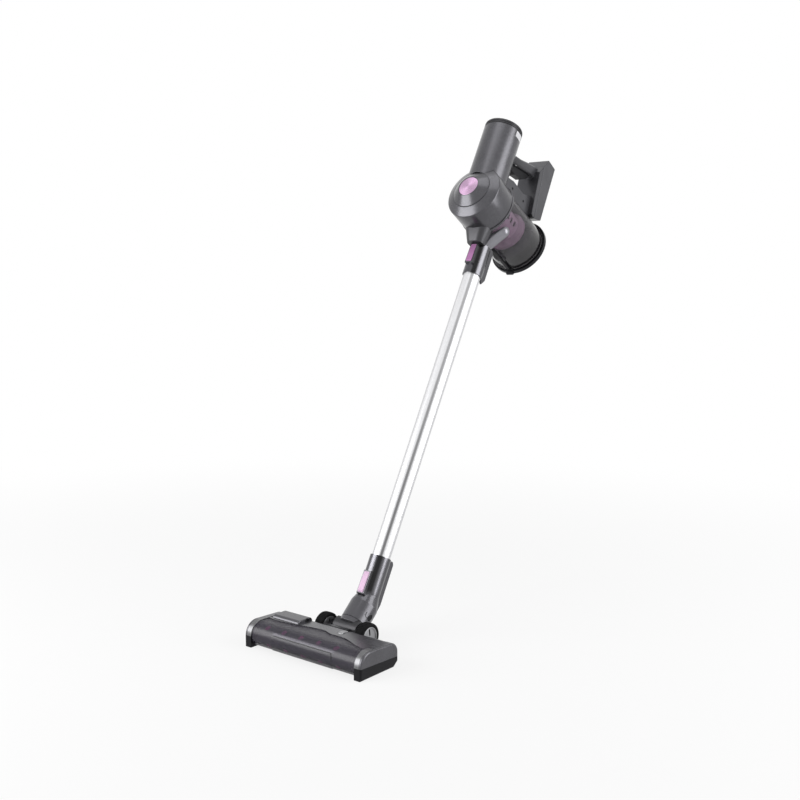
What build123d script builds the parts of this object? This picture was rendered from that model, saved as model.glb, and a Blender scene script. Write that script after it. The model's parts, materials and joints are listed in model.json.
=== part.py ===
from build123d import *
import os
from math import cos, pi, radians, sin

# Cordless stick vacuum: a powered floor head, a swivelling neck, a metal wand and a hand-held unit
# with a cyclone dust cup, a motor barrel and a battery handle.  Millimetres.
# The origin is on the floor under the middle of the floor head.  +X runs along the head, -Y is its
# front, and the wand leans back towards +Y.

os.makedirs("parts", exist_ok=True)

# ------------------------------------------------------------------ driving sizes

# fits
running_gap = 0.3          # between moving plastic faces
shaft_gap = 0.05           # radial, shaft in bearing
seam = 0.1                 # between fixed shells
press_gap = 0.02           # radial, pressed pins and bushes

# floor head
head_length = 251.0
cap_width = 14.0
head_front = -44.5
head_rear = 44.7
head_height = 41.5
bumper_height = 17.2
brush_z = 18.5
window_radius = 22.0
window_wall = 1.8
window_lap = 12.0          # how far back the window runs under the top cover
cover_wall = 1.7
sole_height = 3.4          # underside of the tray above the floor
tray_wall = 2.2
brush_radius = 17.8
brush_core_radius = 15.4
brush_shaft_radius = 4.0
brush_pulley_radius = 9.0
motor_pulley_radius = 4.5
belt_thickness = 1.4
belt_width = 5.0
drive_motor_radius = 12.0
drive_motor_length = 46.0
drive_motor_y = 21.0
drive_motor_z = 28.0

# rear wheels and head pivot
wheel_radius = 23.2
wheel_width = 17.3
wheel_outer_x = 53.0
wheel_front = 40.5         # where the wheels' front edges lie
hub_radius = 17.0
axle_radius = 3.0
ear_inner = 26.0
ear_outer = 34.0
drum_pivot_radius = 19.5
trunnion_radius = 6.0

# neck and wand
lean = radians(29.1)       # wand from the vertical
neck_lean = radians(48.0)  # swivel axis from the vertical
wand_foot = 82.2           # where the wand's axis meets the floor
bend_height = 68.0         # along the wand, where the two axes meet
neck_radius = 24.4
swivel_ring_low = 4.0
swivel_seam = 13.0
elbow_top = 46.0
neck_tube_radius = 17.0
air_radius = 13.5
tube_radius = 16.1
tube_wall = 1.2
socket_gap = 0.25
socket_wall = 2.25
socket_depth = 42.0
head_socket_top = 147.0
head_socket_low = 80.0
inlet_socket_low = 692.0
inlet_socket_top = 752.0
spine_half = 10.0
spine_stand = 11.9         # back of the spine behind the tube
contact_half = 6.0
contact_stand = 6.4        # back of the contact block behind the tube
button_half = 5.5
button_length = 36.0
button_travel = 2.2
seat_stand = 5.6           # front of the button's seat in front of the collar
head_button_low = 79.0
inlet_button_low = 711.0

# hand-held unit
drum_height = 824.0        # cup axis on the wand's axis
drum_tilt = radians(2.5)
drum_radius = 54.0
drum_wall = 2.2
drum_rim = 17.0
rim_radius = 55.0
drum_shoulder = 72.0
cap_radius = 37.4
cap_front = 80.4
disc_radius = 19.4
disc_front = 92.0
cup_radius = 51.0
cup_wall = 2.0
cup_end = -108.0
lid_overhang = 6.0         # of the lid beyond the cup
lid_thickness = 9.0
hinge_stand = 3.5          # of the lid's hinge above the cup
hinge_depth = -111.5
hinge_knuckle = 2.8
hinge_pin_radius = 1.2
shroud_radius = 33.0
barrel_radius = 36.5
barrel_wall = 2.5
barrel_offset = 45.0
barrel_top = 974.6
barrel_cap_height = 10.4
motor_radius = 27.0
grip_half = 13.0
grip_round = 5.8
panel_half = 14.0
block_half = 24.0
trigger_half = 7.5
pipe_radius = 12.0
pipe_turn = radians(44.0)  # where the pipe enters the cup, round from its foot
pipe_wall = 1.8

# ------------------------------------------------------------------ frames


def side(frame, x):
    """The plane across X, with sketch axes along the frame's y and z."""
    return Plane(frame.from_local_coords((x, 0, 0)), x_dir=frame.y_dir, z_dir=frame.x_dir)


def section(frame):
    """The plane through the frame's axis, with sketch axes (radius, height)."""
    return Plane(frame.origin, x_dir=frame.x_dir, z_dir=frame.y_dir * -1)


def axis_of(frame):
    """The frame's z axis."""
    return Axis(frame.origin, frame.z_dir)


def moved(frame, x, y, z):
    """The frame slid to a point of its own."""
    return Plane(frame.from_local_coords((x, y, z)), x_dir=frame.x_dir, z_dir=frame.z_dir)


floor = Plane.XY
wand = Plane((0, wand_foot, 0), x_dir=(1, 0, 0), z_dir=(0, sin(lean), cos(lean)))
bend = wand.from_local_coords((0, 0, bend_height))
neck_axis = Vector(0, sin(neck_lean), cos(neck_lean))
pivot_reach = (bend.Z - wheel_radius) / cos(neck_lean)
neck = Plane(bend - neck_axis * pivot_reach, x_dir=(1, 0, 0), z_dir=neck_axis)
pivot_y = neck.origin.Y
pivot_z = neck.origin.Z
drum_front_dir = wand.y_dir * -cos(drum_tilt) + wand.z_dir * sin(drum_tilt)
drum = Plane(wand.from_local_coords((0, 0, drum_height)), x_dir=(1, 0, 0), z_dir=drum_front_dir)
barrel = moved(wand, 0, -barrel_offset, 0)
wand_axis = axis_of(wand)
back_axis = Axis(wand.origin, wand.y_dir)

# ------------------------------------------------------------------ shared outlines


def closed(plane, *points):
    """A closed straight-sided profile."""
    with BuildSketch(plane) as profile:
        with BuildLine():
            Polyline(*points, close=True)
        make_face()
    return profile.sketch


def ring(plane, outer, inner, centre=(0, 0)):
    """A flat ring."""
    with BuildSketch(plane) as profile:
        with Locations(centre):
            Circle(outer)
            Circle(inner, mode=Mode.SUBTRACT)
    return profile.sketch


def disc(plane, radius, centre=(0, 0)):
    """A flat disc."""
    with BuildSketch(plane) as profile:
        with Locations(centre):
            Circle(radius)
    return profile.sketch


def box_on(plane, width, height, centre=(0, 0), corner=0):
    """A rectangle, with rounded corners if a corner radius is given."""
    with BuildSketch(plane) as profile:
        with Locations(centre):
            if corner:
                RectangleRounded(width, height, corner)
            else:
                Rectangle(width, height)
    return profile.sketch


brush_y = head_front + window_radius + 1.5
nose_radius = brush_y - head_front
nose_z = head_height - nose_radius
cap_inner_x = head_length / 2 - cap_width
brush_centre = (brush_y, brush_z)
drive_motor_centre = (drive_motor_y, drive_motor_z)
top_rear_y = 28.0
top_rear_z = head_height - 1.9


def head_profile(plane, inset=0.0):
    """Side outline of the floor head, nose to the left in the sketch."""
    corner_y = (top_rear_y + head_rear) / 2 + 3.6
    corner_z = 34.6
    with BuildSketch(plane) as profile:
        with BuildLine():
            Line((head_front, 0), (head_front, nose_z))
            ThreePointArc(
                (head_front, nose_z),
                (brush_y - nose_radius * cos(pi / 4), nose_z + nose_radius * sin(pi / 4)),
                (brush_y, head_height),
            )
            Line((brush_y, head_height), (top_rear_y, top_rear_z))
            ThreePointArc((top_rear_y, top_rear_z), (corner_y, corner_z), (head_rear, 24))
            Line((head_rear, 24), (head_rear, 8))
            Line((head_rear, 8), (head_rear - 10, 0))
            Line((head_rear - 10, 0), (head_front, 0))
        make_face()
        if inset:
            offset(amount=-inset)
    return profile.sketch


def round_the_brush(angle, radius):
    """A point about the brush axis; the angle is up from the front."""
    return (
        brush_y - radius * cos(radians(angle)),
        brush_z + radius * sin(radians(angle)),
    )


# ------------------------------------------------------------------ floor head: tray and covers

wheel_y = wheel_front + wheel_radius
wheel_centre = (wheel_y, wheel_radius)
pivot_centre = (pivot_y, pivot_z)
tray_top = 36.4
tray_front = 3.0
plate_thickness = 4.3
plate_low = 1.4            # underside of the tray's end plates and of the sole plate
tray_half = cap_inner_x - seam
duct_half = 14.0
duct_low = 9.0
duct_high = 27.0
cradle_half = 25.3

with BuildPart() as chassis:
    extrude(
        closed(
            side(floor, 0),
            (brush_y + 8, sole_height + 12),
            (tray_front, sole_height + 12),
            (tray_front, sole_height),
            (head_rear - 4, sole_height),
            (head_rear - 1, 9),
            (head_rear - 1, 21.4),
            (head_rear - 2.4, 21.4),
            (head_rear - 2.4, 24),
            (top_rear_y - 1, tray_top),
            (brush_y + 8, tray_top),
        ),
        amount=tray_half,
        both=True,
    )
    extrude(disc(side(floor, 0), window_radius - window_wall + seam, brush_centre),
            amount=tray_half - plate_thickness, both=True, mode=Mode.SUBTRACT)
    for end in (-1, 1):
        plate_x = end * (tray_half - plate_thickness)
        extrude(disc(side(floor, plate_x), window_radius - window_wall - seam, brush_centre),
                amount=end * plate_thickness)
        extrude(box_on(side(floor, plate_x), 30, 22, (brush_y + 15, brush_z + 2)),
                amount=end * plate_thickness)
    # motor bay on the left, empty bay on the right
    bay_length = tray_half - plate_thickness - duct_half - tray_wall
    bay_x = duct_half + tray_wall + bay_length / 2
    for bay in (-1, 1):
        extrude(
            box_on(floor.offset(sole_height + tray_wall), bay_length, 34, (bay * bay_x, 22)),
            amount=40,
            mode=Mode.SUBTRACT,
        )
    # cradle that the pivot drum turns in, and the two ears beside it
    extrude(box_on(side(floor, 0), 18, 24, (head_rear + 6, 18)), amount=cradle_half, both=True)
    extrude(box_on(floor.offset(duct_low), 2 * duct_half, 90, (0, 25)),
            amount=duct_high - duct_low, mode=Mode.SUBTRACT)
    for end in (-1, 1):
        with BuildSketch(side(floor, end * ear_inner)) as ear:
            with BuildLine():
                Polyline((head_rear - 3, 8), (pivot_y, pivot_z - 12), (pivot_y, pivot_z + 12),
                         (head_rear - 3, 31), close=True)
            make_face()
            with Locations(pivot_centre):
                Circle(12)
        extrude(amount=end * (ear_outer - ear_inner))
    extrude(disc(side(floor, 0), drum_pivot_radius + running_gap + 0.1, pivot_centre),
            amount=ear_inner - 0.2, both=True, mode=Mode.SUBTRACT)
    extrude(disc(side(floor, 0), trunnion_radius + shaft_gap, pivot_centre),
            amount=ear_outer + 1, both=True, mode=Mode.SUBTRACT)
    extrude(disc(side(floor, 0), axle_radius + press_gap, wheel_centre),
            amount=ear_outer + 1, both=True, mode=Mode.SUBTRACT)
    # wheel arches
    for end in (-1, 1):
        extrude(disc(side(floor, end * (ear_outer + 0.1)), wheel_radius + 1.0, wheel_centre),
                amount=end * (wheel_width + 4.5), mode=Mode.SUBTRACT)
    # bearing seats for the brush, and the drive motor's shaft hole
    extrude(disc(side(floor, 0), 8, brush_centre), amount=tray_half + 1, both=True,
            mode=Mode.SUBTRACT)
    extrude(disc(side(floor, -tray_half - 1), 5.5, drive_motor_centre), amount=plate_thickness + 4,
            mode=Mode.SUBTRACT)
    extrude(box_on(floor.offset(-10), 2 * head_length, 2 * head_length), amount=10 + plate_low,
            mode=Mode.SUBTRACT)
chassis.part.label = "chassis"
export_step(chassis.part, "parts/chassis.step")

wiper_front = tray_front + 0.6
wiper_rear = wiper_front + 5.0
with BuildPart() as sole_plate:
    extrude(box_on(floor.offset(plate_low), 2 * tray_half - 4, head_rear - 4 - tray_front,
                   (0, (head_rear - 4 + tray_front) / 2), 3), amount=sole_height - plate_low)
    extrude(box_on(floor, 2 * tray_half - 20, wiper_rear - wiper_front,
                   (0, (wiper_rear + wiper_front) / 2)), amount=10, mode=Mode.SUBTRACT)
    with BuildSketch(floor.offset(plate_low)):
        with GridLocations(150, 22, 2, 2):
            with Locations((0, 25)):
                Circle(2.6)
    extrude(amount=2, mode=Mode.SUBTRACT)
sole_plate.part.label = "sole_plate"
export_step(sole_plate.part, "parts/sole_plate.step")

with BuildPart() as sole_screws:
    with BuildSketch(floor.offset(1.6)):
        with GridLocations(150, 22, 2, 2):
            with Locations((0, 25)):
                Circle(2.5)
    extrude(amount=1.2)
    with BuildSketch(floor.offset(1.6)):
        with GridLocations(150, 22, 2, 2):
            with Locations((0, 25)):
                RegularPolygon(1.1, 6)
    extrude(amount=0.8, mode=Mode.SUBTRACT)
sole_screws.part.label = "sole_screws"
export_step(sole_screws.part, "parts/sole_screws.step")

with BuildPart() as rear_wiper:
    extrude(box_on(floor, 2 * tray_half - 20.4, wiper_rear - wiper_front - 0.2,
                   (0, (wiper_rear + wiper_front) / 2)), amount=sole_height)
rear_wiper.part.label = "rear_wiper"
export_step(rear_wiper.part, "parts/rear_wiper.step")

window_low = -38.0
band_rise = 0.8
inner_radius = window_radius - window_wall
window_top_rear = (window_lap, brush_z + window_radius - 2.0)
with BuildPart() as raised_band:
    with BuildSketch(Plane.XZ.offset(-brush_y)):
        with Locations((-1.5, band_rise)):
            RectangleRounded(131, 2 * 28.4, 5)
    extrude(amount=window_radius + 5)
    extrude(ring(side(floor, 0), window_radius + band_rise, window_radius - 0.5, brush_centre),
            amount=70, both=True, mode=Mode.INTERSECT)
    split(bisect_by=Plane((0, brush_y, brush_z - 13.6)), keep=Keep.TOP)

with BuildPart() as brush_window:
    with BuildSketch(side(floor, 0)):
        with BuildLine():
            ThreePointArc(round_the_brush(window_low, window_radius),
                          round_the_brush(26, window_radius),
                          round_the_brush(90, window_radius))
            Line(round_the_brush(90, window_radius), window_top_rear)
            Line(window_top_rear, (window_lap, window_top_rear[1] - window_wall))
            Line((window_lap, window_top_rear[1] - window_wall), round_the_brush(90, inner_radius))
            ThreePointArc(round_the_brush(90, inner_radius),
                          round_the_brush(26, inner_radius),
                          round_the_brush(window_low, inner_radius))
            Line(round_the_brush(window_low, inner_radius),
                 round_the_brush(window_low, window_radius))
        make_face()
    extrude(amount=tray_half, both=True)
    add(raised_band.part)
brush_window.part.label = "brush_window"
export_step(brush_window.part, "parts/brush_window.step")

cover_drop = 0.4
bay_cover_left = -tray_half
bay_cover_right = -50.0
bay_cover_front = 2.0
bay_cover_rear = 37.0
bay_cover_top = 44.4
latch_x = 32.0
vent_radius = 4.2
vent_centre = (24, 40.2)
with BuildPart() as top_cover:
    extrude(head_profile(side(floor, 0), cover_drop), amount=tray_half, both=True)
    extrude(head_profile(side(floor, 0), cover_drop + cover_wall), amount=tray_half + 1, both=True,
            mode=Mode.SUBTRACT)
    # what the window and the tray already fill
    extrude(closed(side(floor, 0), (-60, -5), (60, -5), (60, 21.5), (-10, 21.5), (-10, 30), (-60, 30)),
            amount=tray_half + 1, both=True, mode=Mode.SUBTRACT)
    extrude(closed(side(floor, 0), (brush_y - 1, 10),
                   (brush_y - 1, brush_z + window_radius + seam),
                   (window_lap + seam, window_top_rear[1] + seam), (window_lap + seam, 10)),
            amount=tray_half + 1, both=True, mode=Mode.SUBTRACT)
    # the wavy front edge
    with BuildSketch(floor.offset(20)):
        with BuildLine():
            Spline((-tray_half - 2, -2), (-60, -1), (-14, 8), (6, 8), (22, 2.5), (40, 2.5),
                   (60, -1), (86, -12.5), (tray_half + 2, -17.5))
            Polyline((-tray_half - 2, -2), (-tray_half - 2, -60), (tray_half + 2, -60),
                     (tray_half + 2, -17.5))
        make_face()
    extrude(amount=40, mode=Mode.SUBTRACT)
    # opening for the motor cover, arches for the wheels, gap for the neck
    extrude(box_on(floor.offset(20), bay_cover_right - bay_cover_left + 1,
                   bay_cover_rear - bay_cover_front + 0.2,
                   ((bay_cover_right + bay_cover_left - 1) / 2 + 0.1,
                    (bay_cover_rear + bay_cover_front) / 2)), amount=30, mode=Mode.SUBTRACT)
    for end in (-1, 1):
        extrude(disc(side(floor, end * (ear_inner - 0.5)), wheel_radius + 1.2, wheel_centre),
                amount=end * (wheel_outer_x + 2.2 - ear_inner), mode=Mode.SUBTRACT)
    extrude(box_on(floor.offset(10), 2 * ear_inner - 1, 24, (0, head_rear + 8.9)), amount=40,
            mode=Mode.SUBTRACT)
    # the tongue that reaches back over the cradle towards the neck
    extrude(closed(side(floor, 0), (36, 30.2), (49.5, 30.2), (50.2, 32.5), (47, 36.0), (36, 38.2)),
            amount=ear_inner - 0.6, both=True)
    # slot for the brush cover's catch
    extrude(box_on(floor.offset(20), 9.0, 22.0, (latch_x, 23.0), 2), amount=30,
            mode=Mode.SUBTRACT)
top_cover.part.label = "top_cover"
export_step(top_cover.part, "parts/top_cover.step")

with BuildPart() as cover_latch:
    extrude(closed(side(floor, latch_x), (13.2, 38.2), (13.2, 39.6), (17.0, 41.4), (28.2, 40.4),
                   (28.2, 36.6), (15.0, 36.6)), amount=4.1, both=True)
    fillet(cover_latch.edges().filter_by(Axis.X).group_by(Axis.Z)[-1], 0.8)
cover_latch.part.label = "cover_latch"
export_step(cover_latch.part, "parts/cover_latch.step")

with BuildPart() as motor_cover:
    with BuildSketch(side(floor, bay_cover_left)):
        with BuildLine():
            Polyline((bay_cover_front, tray_top + seam), (bay_cover_front, bay_cover_top),
                     (bay_cover_rear - 1.0, bay_cover_top), (bay_cover_rear, tray_top + seam),
                     close=True)
        make_face()
    extrude(amount=bay_cover_right - bay_cover_left)
    fillet(motor_cover.edges().filter_by(Axis.X).group_by(Axis.Z)[-1], 7.0)
    fillet(motor_cover.faces().sort_by(Axis.X)[0].edges().sort_by(Axis.Z)[1:], 4.5)
    fillet(motor_cover.faces().sort_by(Axis.X)[-1].edges().sort_by(Axis.Z)[2:], 1.5)
    extrude(disc(side(floor, bay_cover_left - 1), drive_motor_radius + 1.0, drive_motor_centre),
            amount=drive_motor_length + 6, mode=Mode.SUBTRACT)
    extrude(box_on(floor.offset(20), bay_cover_right - bay_cover_left - 4,
                   bay_cover_rear - bay_cover_front - 5,
                   ((bay_cover_right + bay_cover_left) / 2,
                    (bay_cover_rear + bay_cover_front) / 2 - 0.5)), amount=16.6,
            mode=Mode.SUBTRACT)
    # the small louvred vent in its inner end
    extrude(disc(side(floor, bay_cover_right + 1), vent_radius, vent_centre), amount=-2.2,
            mode=Mode.SUBTRACT)
    with BuildSketch(side(floor, bay_cover_right)):
        with Locations(vent_centre):
            with GridLocations(0, 2.6, 1, 3):
                SlotOverall(6.4, 1.2)
    extrude(amount=-6, mode=Mode.SUBTRACT)
    extrude(closed(side(floor, 0), (brush_y, 30), (brush_y, brush_z + window_radius + seam),
                   (window_lap + seam, window_top_rear[1] + seam), (window_lap + seam, 30)),
            amount=tray_half + 1, both=True, mode=Mode.SUBTRACT)
motor_cover.part.label = "motor_cover"
export_step(motor_cover.part, "parts/motor_cover.step")

# ------------------------------------------------------------------ floor head: end caps

bumper_plane = Plane((0, 0, bumper_height), z_dir=(0, 0.04, 1))
belt_cavity_depth = 10.0


def end_cap_blank(end):
    """A whole end cap, before it is parted; end is 1 on the right and -1 on the left."""
    with BuildPart() as blank:
        extrude(head_profile(side(floor, end * cap_inner_x)), amount=end * cap_width)
        outer_face = blank.faces().sort_by(Axis.X)[-1 if end > 0 else 0]
        fillet(outer_face.edges(), 3.0)
        if end < 0:
            with BuildSketch(side(floor, -cap_inner_x + 1)) as cavity:
                with BuildLine():
                    CenterArc(brush_centre, brush_pulley_radius + 3.4, 0, 360)
                    CenterArc(drive_motor_centre, motor_pulley_radius + 3.4, 0, 360)
                make_hull()
            extrude(amount=-belt_cavity_depth - 1, mode=Mode.SUBTRACT)
        else:
            extrude(disc(side(floor, cap_inner_x - 1), 8.2, brush_centre), amount=4,
                    mode=Mode.SUBTRACT)
    return blank.part


def trim_band_zone(end):
    """Where the bright band wraps the nose of an end cap."""
    with BuildPart() as zone:
        extrude(box_on(side(floor, end * (cap_inner_x - 1)), 40, 40,
                       (brush_y - 11, bumper_height + 21)), amount=end * (cap_width - 3.6))
        extrude(disc(side(floor, end * (cap_inner_x - 2)), nose_radius - 1.6, (brush_y, nose_z)),
                amount=end * (cap_width + 4), mode=Mode.SUBTRACT)
        split(bisect_by=bumper_plane, keep=Keep.TOP)
    return zone.part


for end, name in ((-1, "left"), (1, "right")):
    blank = end_cap_blank(end)
    zone = trim_band_zone(end)
    with BuildPart() as end_cap:
        add(blank)
        add(zone, mode=Mode.SUBTRACT)
        split(bisect_by=bumper_plane, keep=Keep.TOP)
    end_cap.part.label = "end_cap_" + name
    export_step(end_cap.part, "parts/end_cap_" + name + ".step")
    with BuildPart() as bumper:
        add(blank)
        split(bisect_by=bumper_plane, keep=Keep.BOTTOM)
    bumper.part.label = "bumper_" + name
    export_step(bumper.part, "parts/bumper_" + name + ".step")

with BuildPart() as cap_trims:
    for end in (-1, 1):
        add(end_cap_blank(end) & trim_band_zone(end))
cap_trims.part.label = "cap_trims"
export_step(cap_trims.part, "parts/cap_trims.step")

# ------------------------------------------------------------------ floor head: brush and drive

belt_x = -cap_inner_x - 2.6
flange = 0.8
core_half = tray_half - plate_thickness - 1.0
with BuildPart() as brush_core:
    extrude(disc(side(floor, 0), brush_core_radius, brush_centre), amount=core_half, both=True)
    extrude(disc(side(floor, 0), brush_shaft_radius, brush_centre), amount=tray_half - 0.6, both=True)
    chamfer(brush_core.edges().filter_by(GeomType.CIRCLE).filter_by(
        lambda edge: abs(edge.radius - brush_core_radius) < 0.01), 1.0)
    # the belt pulley on its left end
    extrude(disc(side(floor, belt_x + 1), brush_shaft_radius - 1, brush_centre),
            amount=-belt_width - 1.4)
    extrude(disc(side(floor, belt_x), brush_pulley_radius, brush_centre), amount=-belt_width)
    for edge_x in (belt_x, belt_x - belt_width + flange):
        extrude(disc(side(floor, edge_x), brush_pulley_radius + 2 * flange, brush_centre),
                amount=-flange)
brush_core.part.label = "brush_core"
export_step(brush_core.part, "parts/brush_core.step")

tuft_rows = 6
tufts_per_row = 6
tuft_pitch = 37.6
tuft_radius = 2.4
with BuildPart() as brush_tufts:
    for row in range(tuft_rows):
        for tuft in range(tufts_per_row):
            turn = radians(360 / tuft_rows * row + 7 * (tuft - 2.5))
            along = tuft_pitch * (tuft - (tufts_per_row - 1) / 2) + 3 * (-1) ** row
            out = (0, cos(turn), sin(turn))
            root = Vector(along, brush_y, brush_z) + Vector(*out) * (brush_core_radius + 0.05)
            with BuildSketch(Plane(root, x_dir=(1, 0, 0), z_dir=out)):
                RegularPolygon(tuft_radius, 6)
            extrude(amount=brush_radius - brush_core_radius - 0.4)
brush_tufts.part.label = "brush_tufts"
export_step(brush_tufts.part, "parts/brush_tufts.step")

with BuildPart() as brush_bearings:
    for end in (-1, 1):
        extrude(ring(side(floor, end * (tray_half - plate_thickness + 0.5)), 8 - press_gap,
                     brush_shaft_radius + shaft_gap, brush_centre),
                amount=end * (plate_thickness - 0.6))
brush_bearings.part.label = "brush_bearings"
export_step(brush_bearings.part, "parts/brush_bearings.step")

motor_shaft_radius = 1.6
drive_motor_right = -tray_half + plate_thickness + drive_motor_length
with BuildPart() as drive_motor:
    extrude(disc(side(floor, drive_motor_right), drive_motor_radius, drive_motor_centre),
            amount=-drive_motor_length + 0.3)
    chamfer(drive_motor.edges().filter_by(GeomType.CIRCLE), 1.2)
    extrude(disc(side(floor, -tray_half + plate_thickness + 1), 5.3, drive_motor_centre),
            amount=-plate_thickness + 0.5)
    extrude(disc(side(floor, -tray_half - 1), motor_shaft_radius + shaft_gap, drive_motor_centre),
            amount=20, mode=Mode.SUBTRACT)
drive_motor.part.label = "drive_motor"
export_step(drive_motor.part, "parts/drive_motor.step")

with BuildPart() as motor_pulley:
    extrude(disc(side(floor, -tray_half + 16), motor_shaft_radius, drive_motor_centre),
            amount=belt_x - belt_width - 0.4 + tray_half - 16)
    extrude(disc(side(floor, belt_x), motor_pulley_radius, drive_motor_centre), amount=-belt_width)
    for edge_x in (belt_x, belt_x - belt_width + flange):
        extrude(disc(side(floor, edge_x), motor_pulley_radius + 2 * flange, drive_motor_centre),
                amount=-flange)
motor_pulley.part.label = "motor_pulley"
export_step(motor_pulley.part, "parts/motor_pulley.step")


def belt_loop(lift):
    """The line of the belt round both pulleys, lifted off them by a distance."""
    with BuildSketch(side(floor, belt_x - flange - seam)) as loop:
        with BuildLine():
            CenterArc(brush_centre, brush_pulley_radius + lift, 0, 360)
            CenterArc(drive_motor_centre, motor_pulley_radius + lift, 0, 360)
        make_hull()
    return loop.sketch


belt_lift = 0.3
with BuildPart() as drive_belt:
    extrude(belt_loop(belt_lift + belt_thickness), amount=-belt_width + 2 * (flange + seam))
    extrude(belt_loop(belt_lift), amount=-belt_width + 2 * (flange + seam), mode=Mode.SUBTRACT)
drive_belt.part.label = "drive_belt"
export_step(drive_belt.part, "parts/drive_belt.step")

# ------------------------------------------------------------------ floor head: rear wheels

wheel_inner_x = wheel_outer_x - wheel_width
tyre_inner = hub_radius + press_gap


def wheel_frame(end):
    """Frame of a wheel: z points out along its axle."""
    return Plane((0, wheel_y, wheel_radius), x_dir=(0, 1, 0), z_dir=(end, 0, 0))


for end, name in ((-1, "left"), (1, "right")):
    hub_plane = wheel_frame(end)
    with BuildPart() as tyre:
        revolve(closed(section(hub_plane), (tyre_inner, wheel_inner_x + 0.8),
                       (wheel_radius - 2.4, wheel_inner_x), (wheel_radius - 0.5, wheel_inner_x + 1.6),
                       (wheel_radius, wheel_inner_x + 3.6), (wheel_radius, wheel_outer_x - 3.6),
                       (wheel_radius - 0.5, wheel_outer_x - 1.6), (wheel_radius - 2.4, wheel_outer_x),
                       (tyre_inner, wheel_outer_x - 0.8)), axis=axis_of(hub_plane))
    tyre.part.label = "tyre_" + name
    export_step(tyre.part, "parts/tyre_" + name + ".step")
    with BuildPart() as wheel_hub:
        revolve(closed(section(hub_plane), (0, wheel_inner_x + 0.6), (hub_radius, wheel_inner_x + 0.6),
                       (hub_radius, wheel_outer_x - 1.0), (hub_radius - 1.8, wheel_outer_x - 0.6),
                       (hub_radius - 3.0, wheel_outer_x - 2.4), (6.0, wheel_outer_x - 1.6),
                       (0, wheel_outer_x - 1.0)), axis=axis_of(hub_plane))
        with BuildSketch(hub_plane.offset(wheel_outer_x - 5)):
            with PolarLocations(9.0, 3, 90):
                SlotOverall(8.5, 2.4)
        extrude(amount=8, mode=Mode.SUBTRACT)
        extrude(disc(hub_plane.offset(wheel_inner_x - 1), axle_radius + shaft_gap),
                amount=wheel_width - 4.5, mode=Mode.SUBTRACT)
    wheel_hub.part.label = "wheel_hub_" + name
    export_step(wheel_hub.part, "parts/wheel_hub_" + name + ".step")

with BuildPart() as wheel_axles:
    for end in (-1, 1):
        extrude(disc(wheel_frame(end).offset(ear_inner + 0.5), axle_radius),
                amount=wheel_outer_x - 7 - ear_inner)
wheel_axles.part.label = "wheel_axles"
export_step(wheel_axles.part, "parts/wheel_axles.step")

# ------------------------------------------------------------------ neck: yoke, ring and elbow

drum_flat = 11.0
keeper_radius = 3.0
keeper_height = 28.0
with BuildPart() as pivot_drum:
    extrude(disc(side(neck, 0), drum_pivot_radius), amount=ear_inner - running_gap, both=True)
    fillet(pivot_drum.edges().filter_by(GeomType.CIRCLE), 1.5)
    extrude(disc(neck.offset(drum_flat), 40), amount=30, mode=Mode.SUBTRACT)
    extrude(disc(neck, neck_tube_radius), amount=34)
    extrude(disc(side(neck, 0), trunnion_radius), amount=ear_outer - 0.5, both=True)
    extrude(ring(neck.offset(24.5), neck_tube_radius + 1, neck_tube_radius - 1.2), amount=7,
            mode=Mode.SUBTRACT)
    # air way: up the neck, and a wide mouth facing the tray's duct
    extrude(disc(neck.offset(-6), air_radius), amount=42, mode=Mode.SUBTRACT)
    extrude(box_on(side(floor, 0), 24, 17, (pivot_y - 12, pivot_z - 2)), amount=air_radius - 1,
            both=True, mode=Mode.SUBTRACT)
pivot_drum.part.label = "pivot_drum"
export_step(pivot_drum.part, "parts/pivot_drum.step")

ring_flat = neck_radius - 3.2   # trimmed at the back so that it clears the floor
with BuildPart() as swivel_ring:
    extrude(ring(neck.offset(swivel_ring_low), neck_radius, neck_tube_radius + press_gap),
            amount=swivel_seam - swivel_ring_low - running_gap)
    chamfer(swivel_ring.edges().filter_by(GeomType.CIRCLE).filter_by(
        lambda edge: abs(edge.radius - neck_radius) < 0.01), 0.6)
    extrude(box_on(neck, 60, 20, (0, ring_flat + 10)), amount=20, mode=Mode.SUBTRACT)
    extrude(disc(side(neck, 0), drum_pivot_radius + seam), amount=ear_inner, both=True,
            mode=Mode.SUBTRACT)
    extrude(ring(neck.offset(drum_flat + seam), neck_radius - 2, neck_tube_radius + press_gap),
            amount=swivel_seam - running_gap - drum_flat - seam)
swivel_ring.part.label = "swivel_ring"
export_step(swivel_ring.part, "parts/swivel_ring.step")

socket_radius = tube_radius + socket_gap + socket_wall
spine_back = tube_radius + spine_stand
contact_back = tube_radius + contact_stand
contact_slot = spine_back - 3.4
spine_root = spine_back - 16
seat_front = socket_radius + seat_stand
seat_lip = 2.2
pocket_floor = socket_radius + 0.6


def button_seat(button_low):
    """The raised block in front of a collar that its release button lies in."""
    button_top = button_low + button_length
    with BuildPart() as seat:
        extrude(closed(side(wand, 0), (-12, button_low - seat_lip), (-seat_front, button_low - seat_lip),
                       (-seat_front + 1.4, button_top + seat_lip), (-12, button_top + seat_lip)),
                amount=button_half + 3.2, both=True)
        chamfer(seat.faces().sort_by(back_axis)[0].edges(), 1.2)
    return seat.part


def collar_body(low, top, spine, button_low):
    """A collar the wand plugs into, with its contact spine behind and its button seat in front."""
    with BuildPart() as body:
        extrude(closed(side(wand, 0), *spine), amount=spine_half, both=True)
        fillet(body.edges().filter_by(wand_axis), 2.0)
        extrude(disc(wand.offset(low), socket_radius), amount=top - low)
        add(button_seat(button_low))
    return body.part


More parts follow.
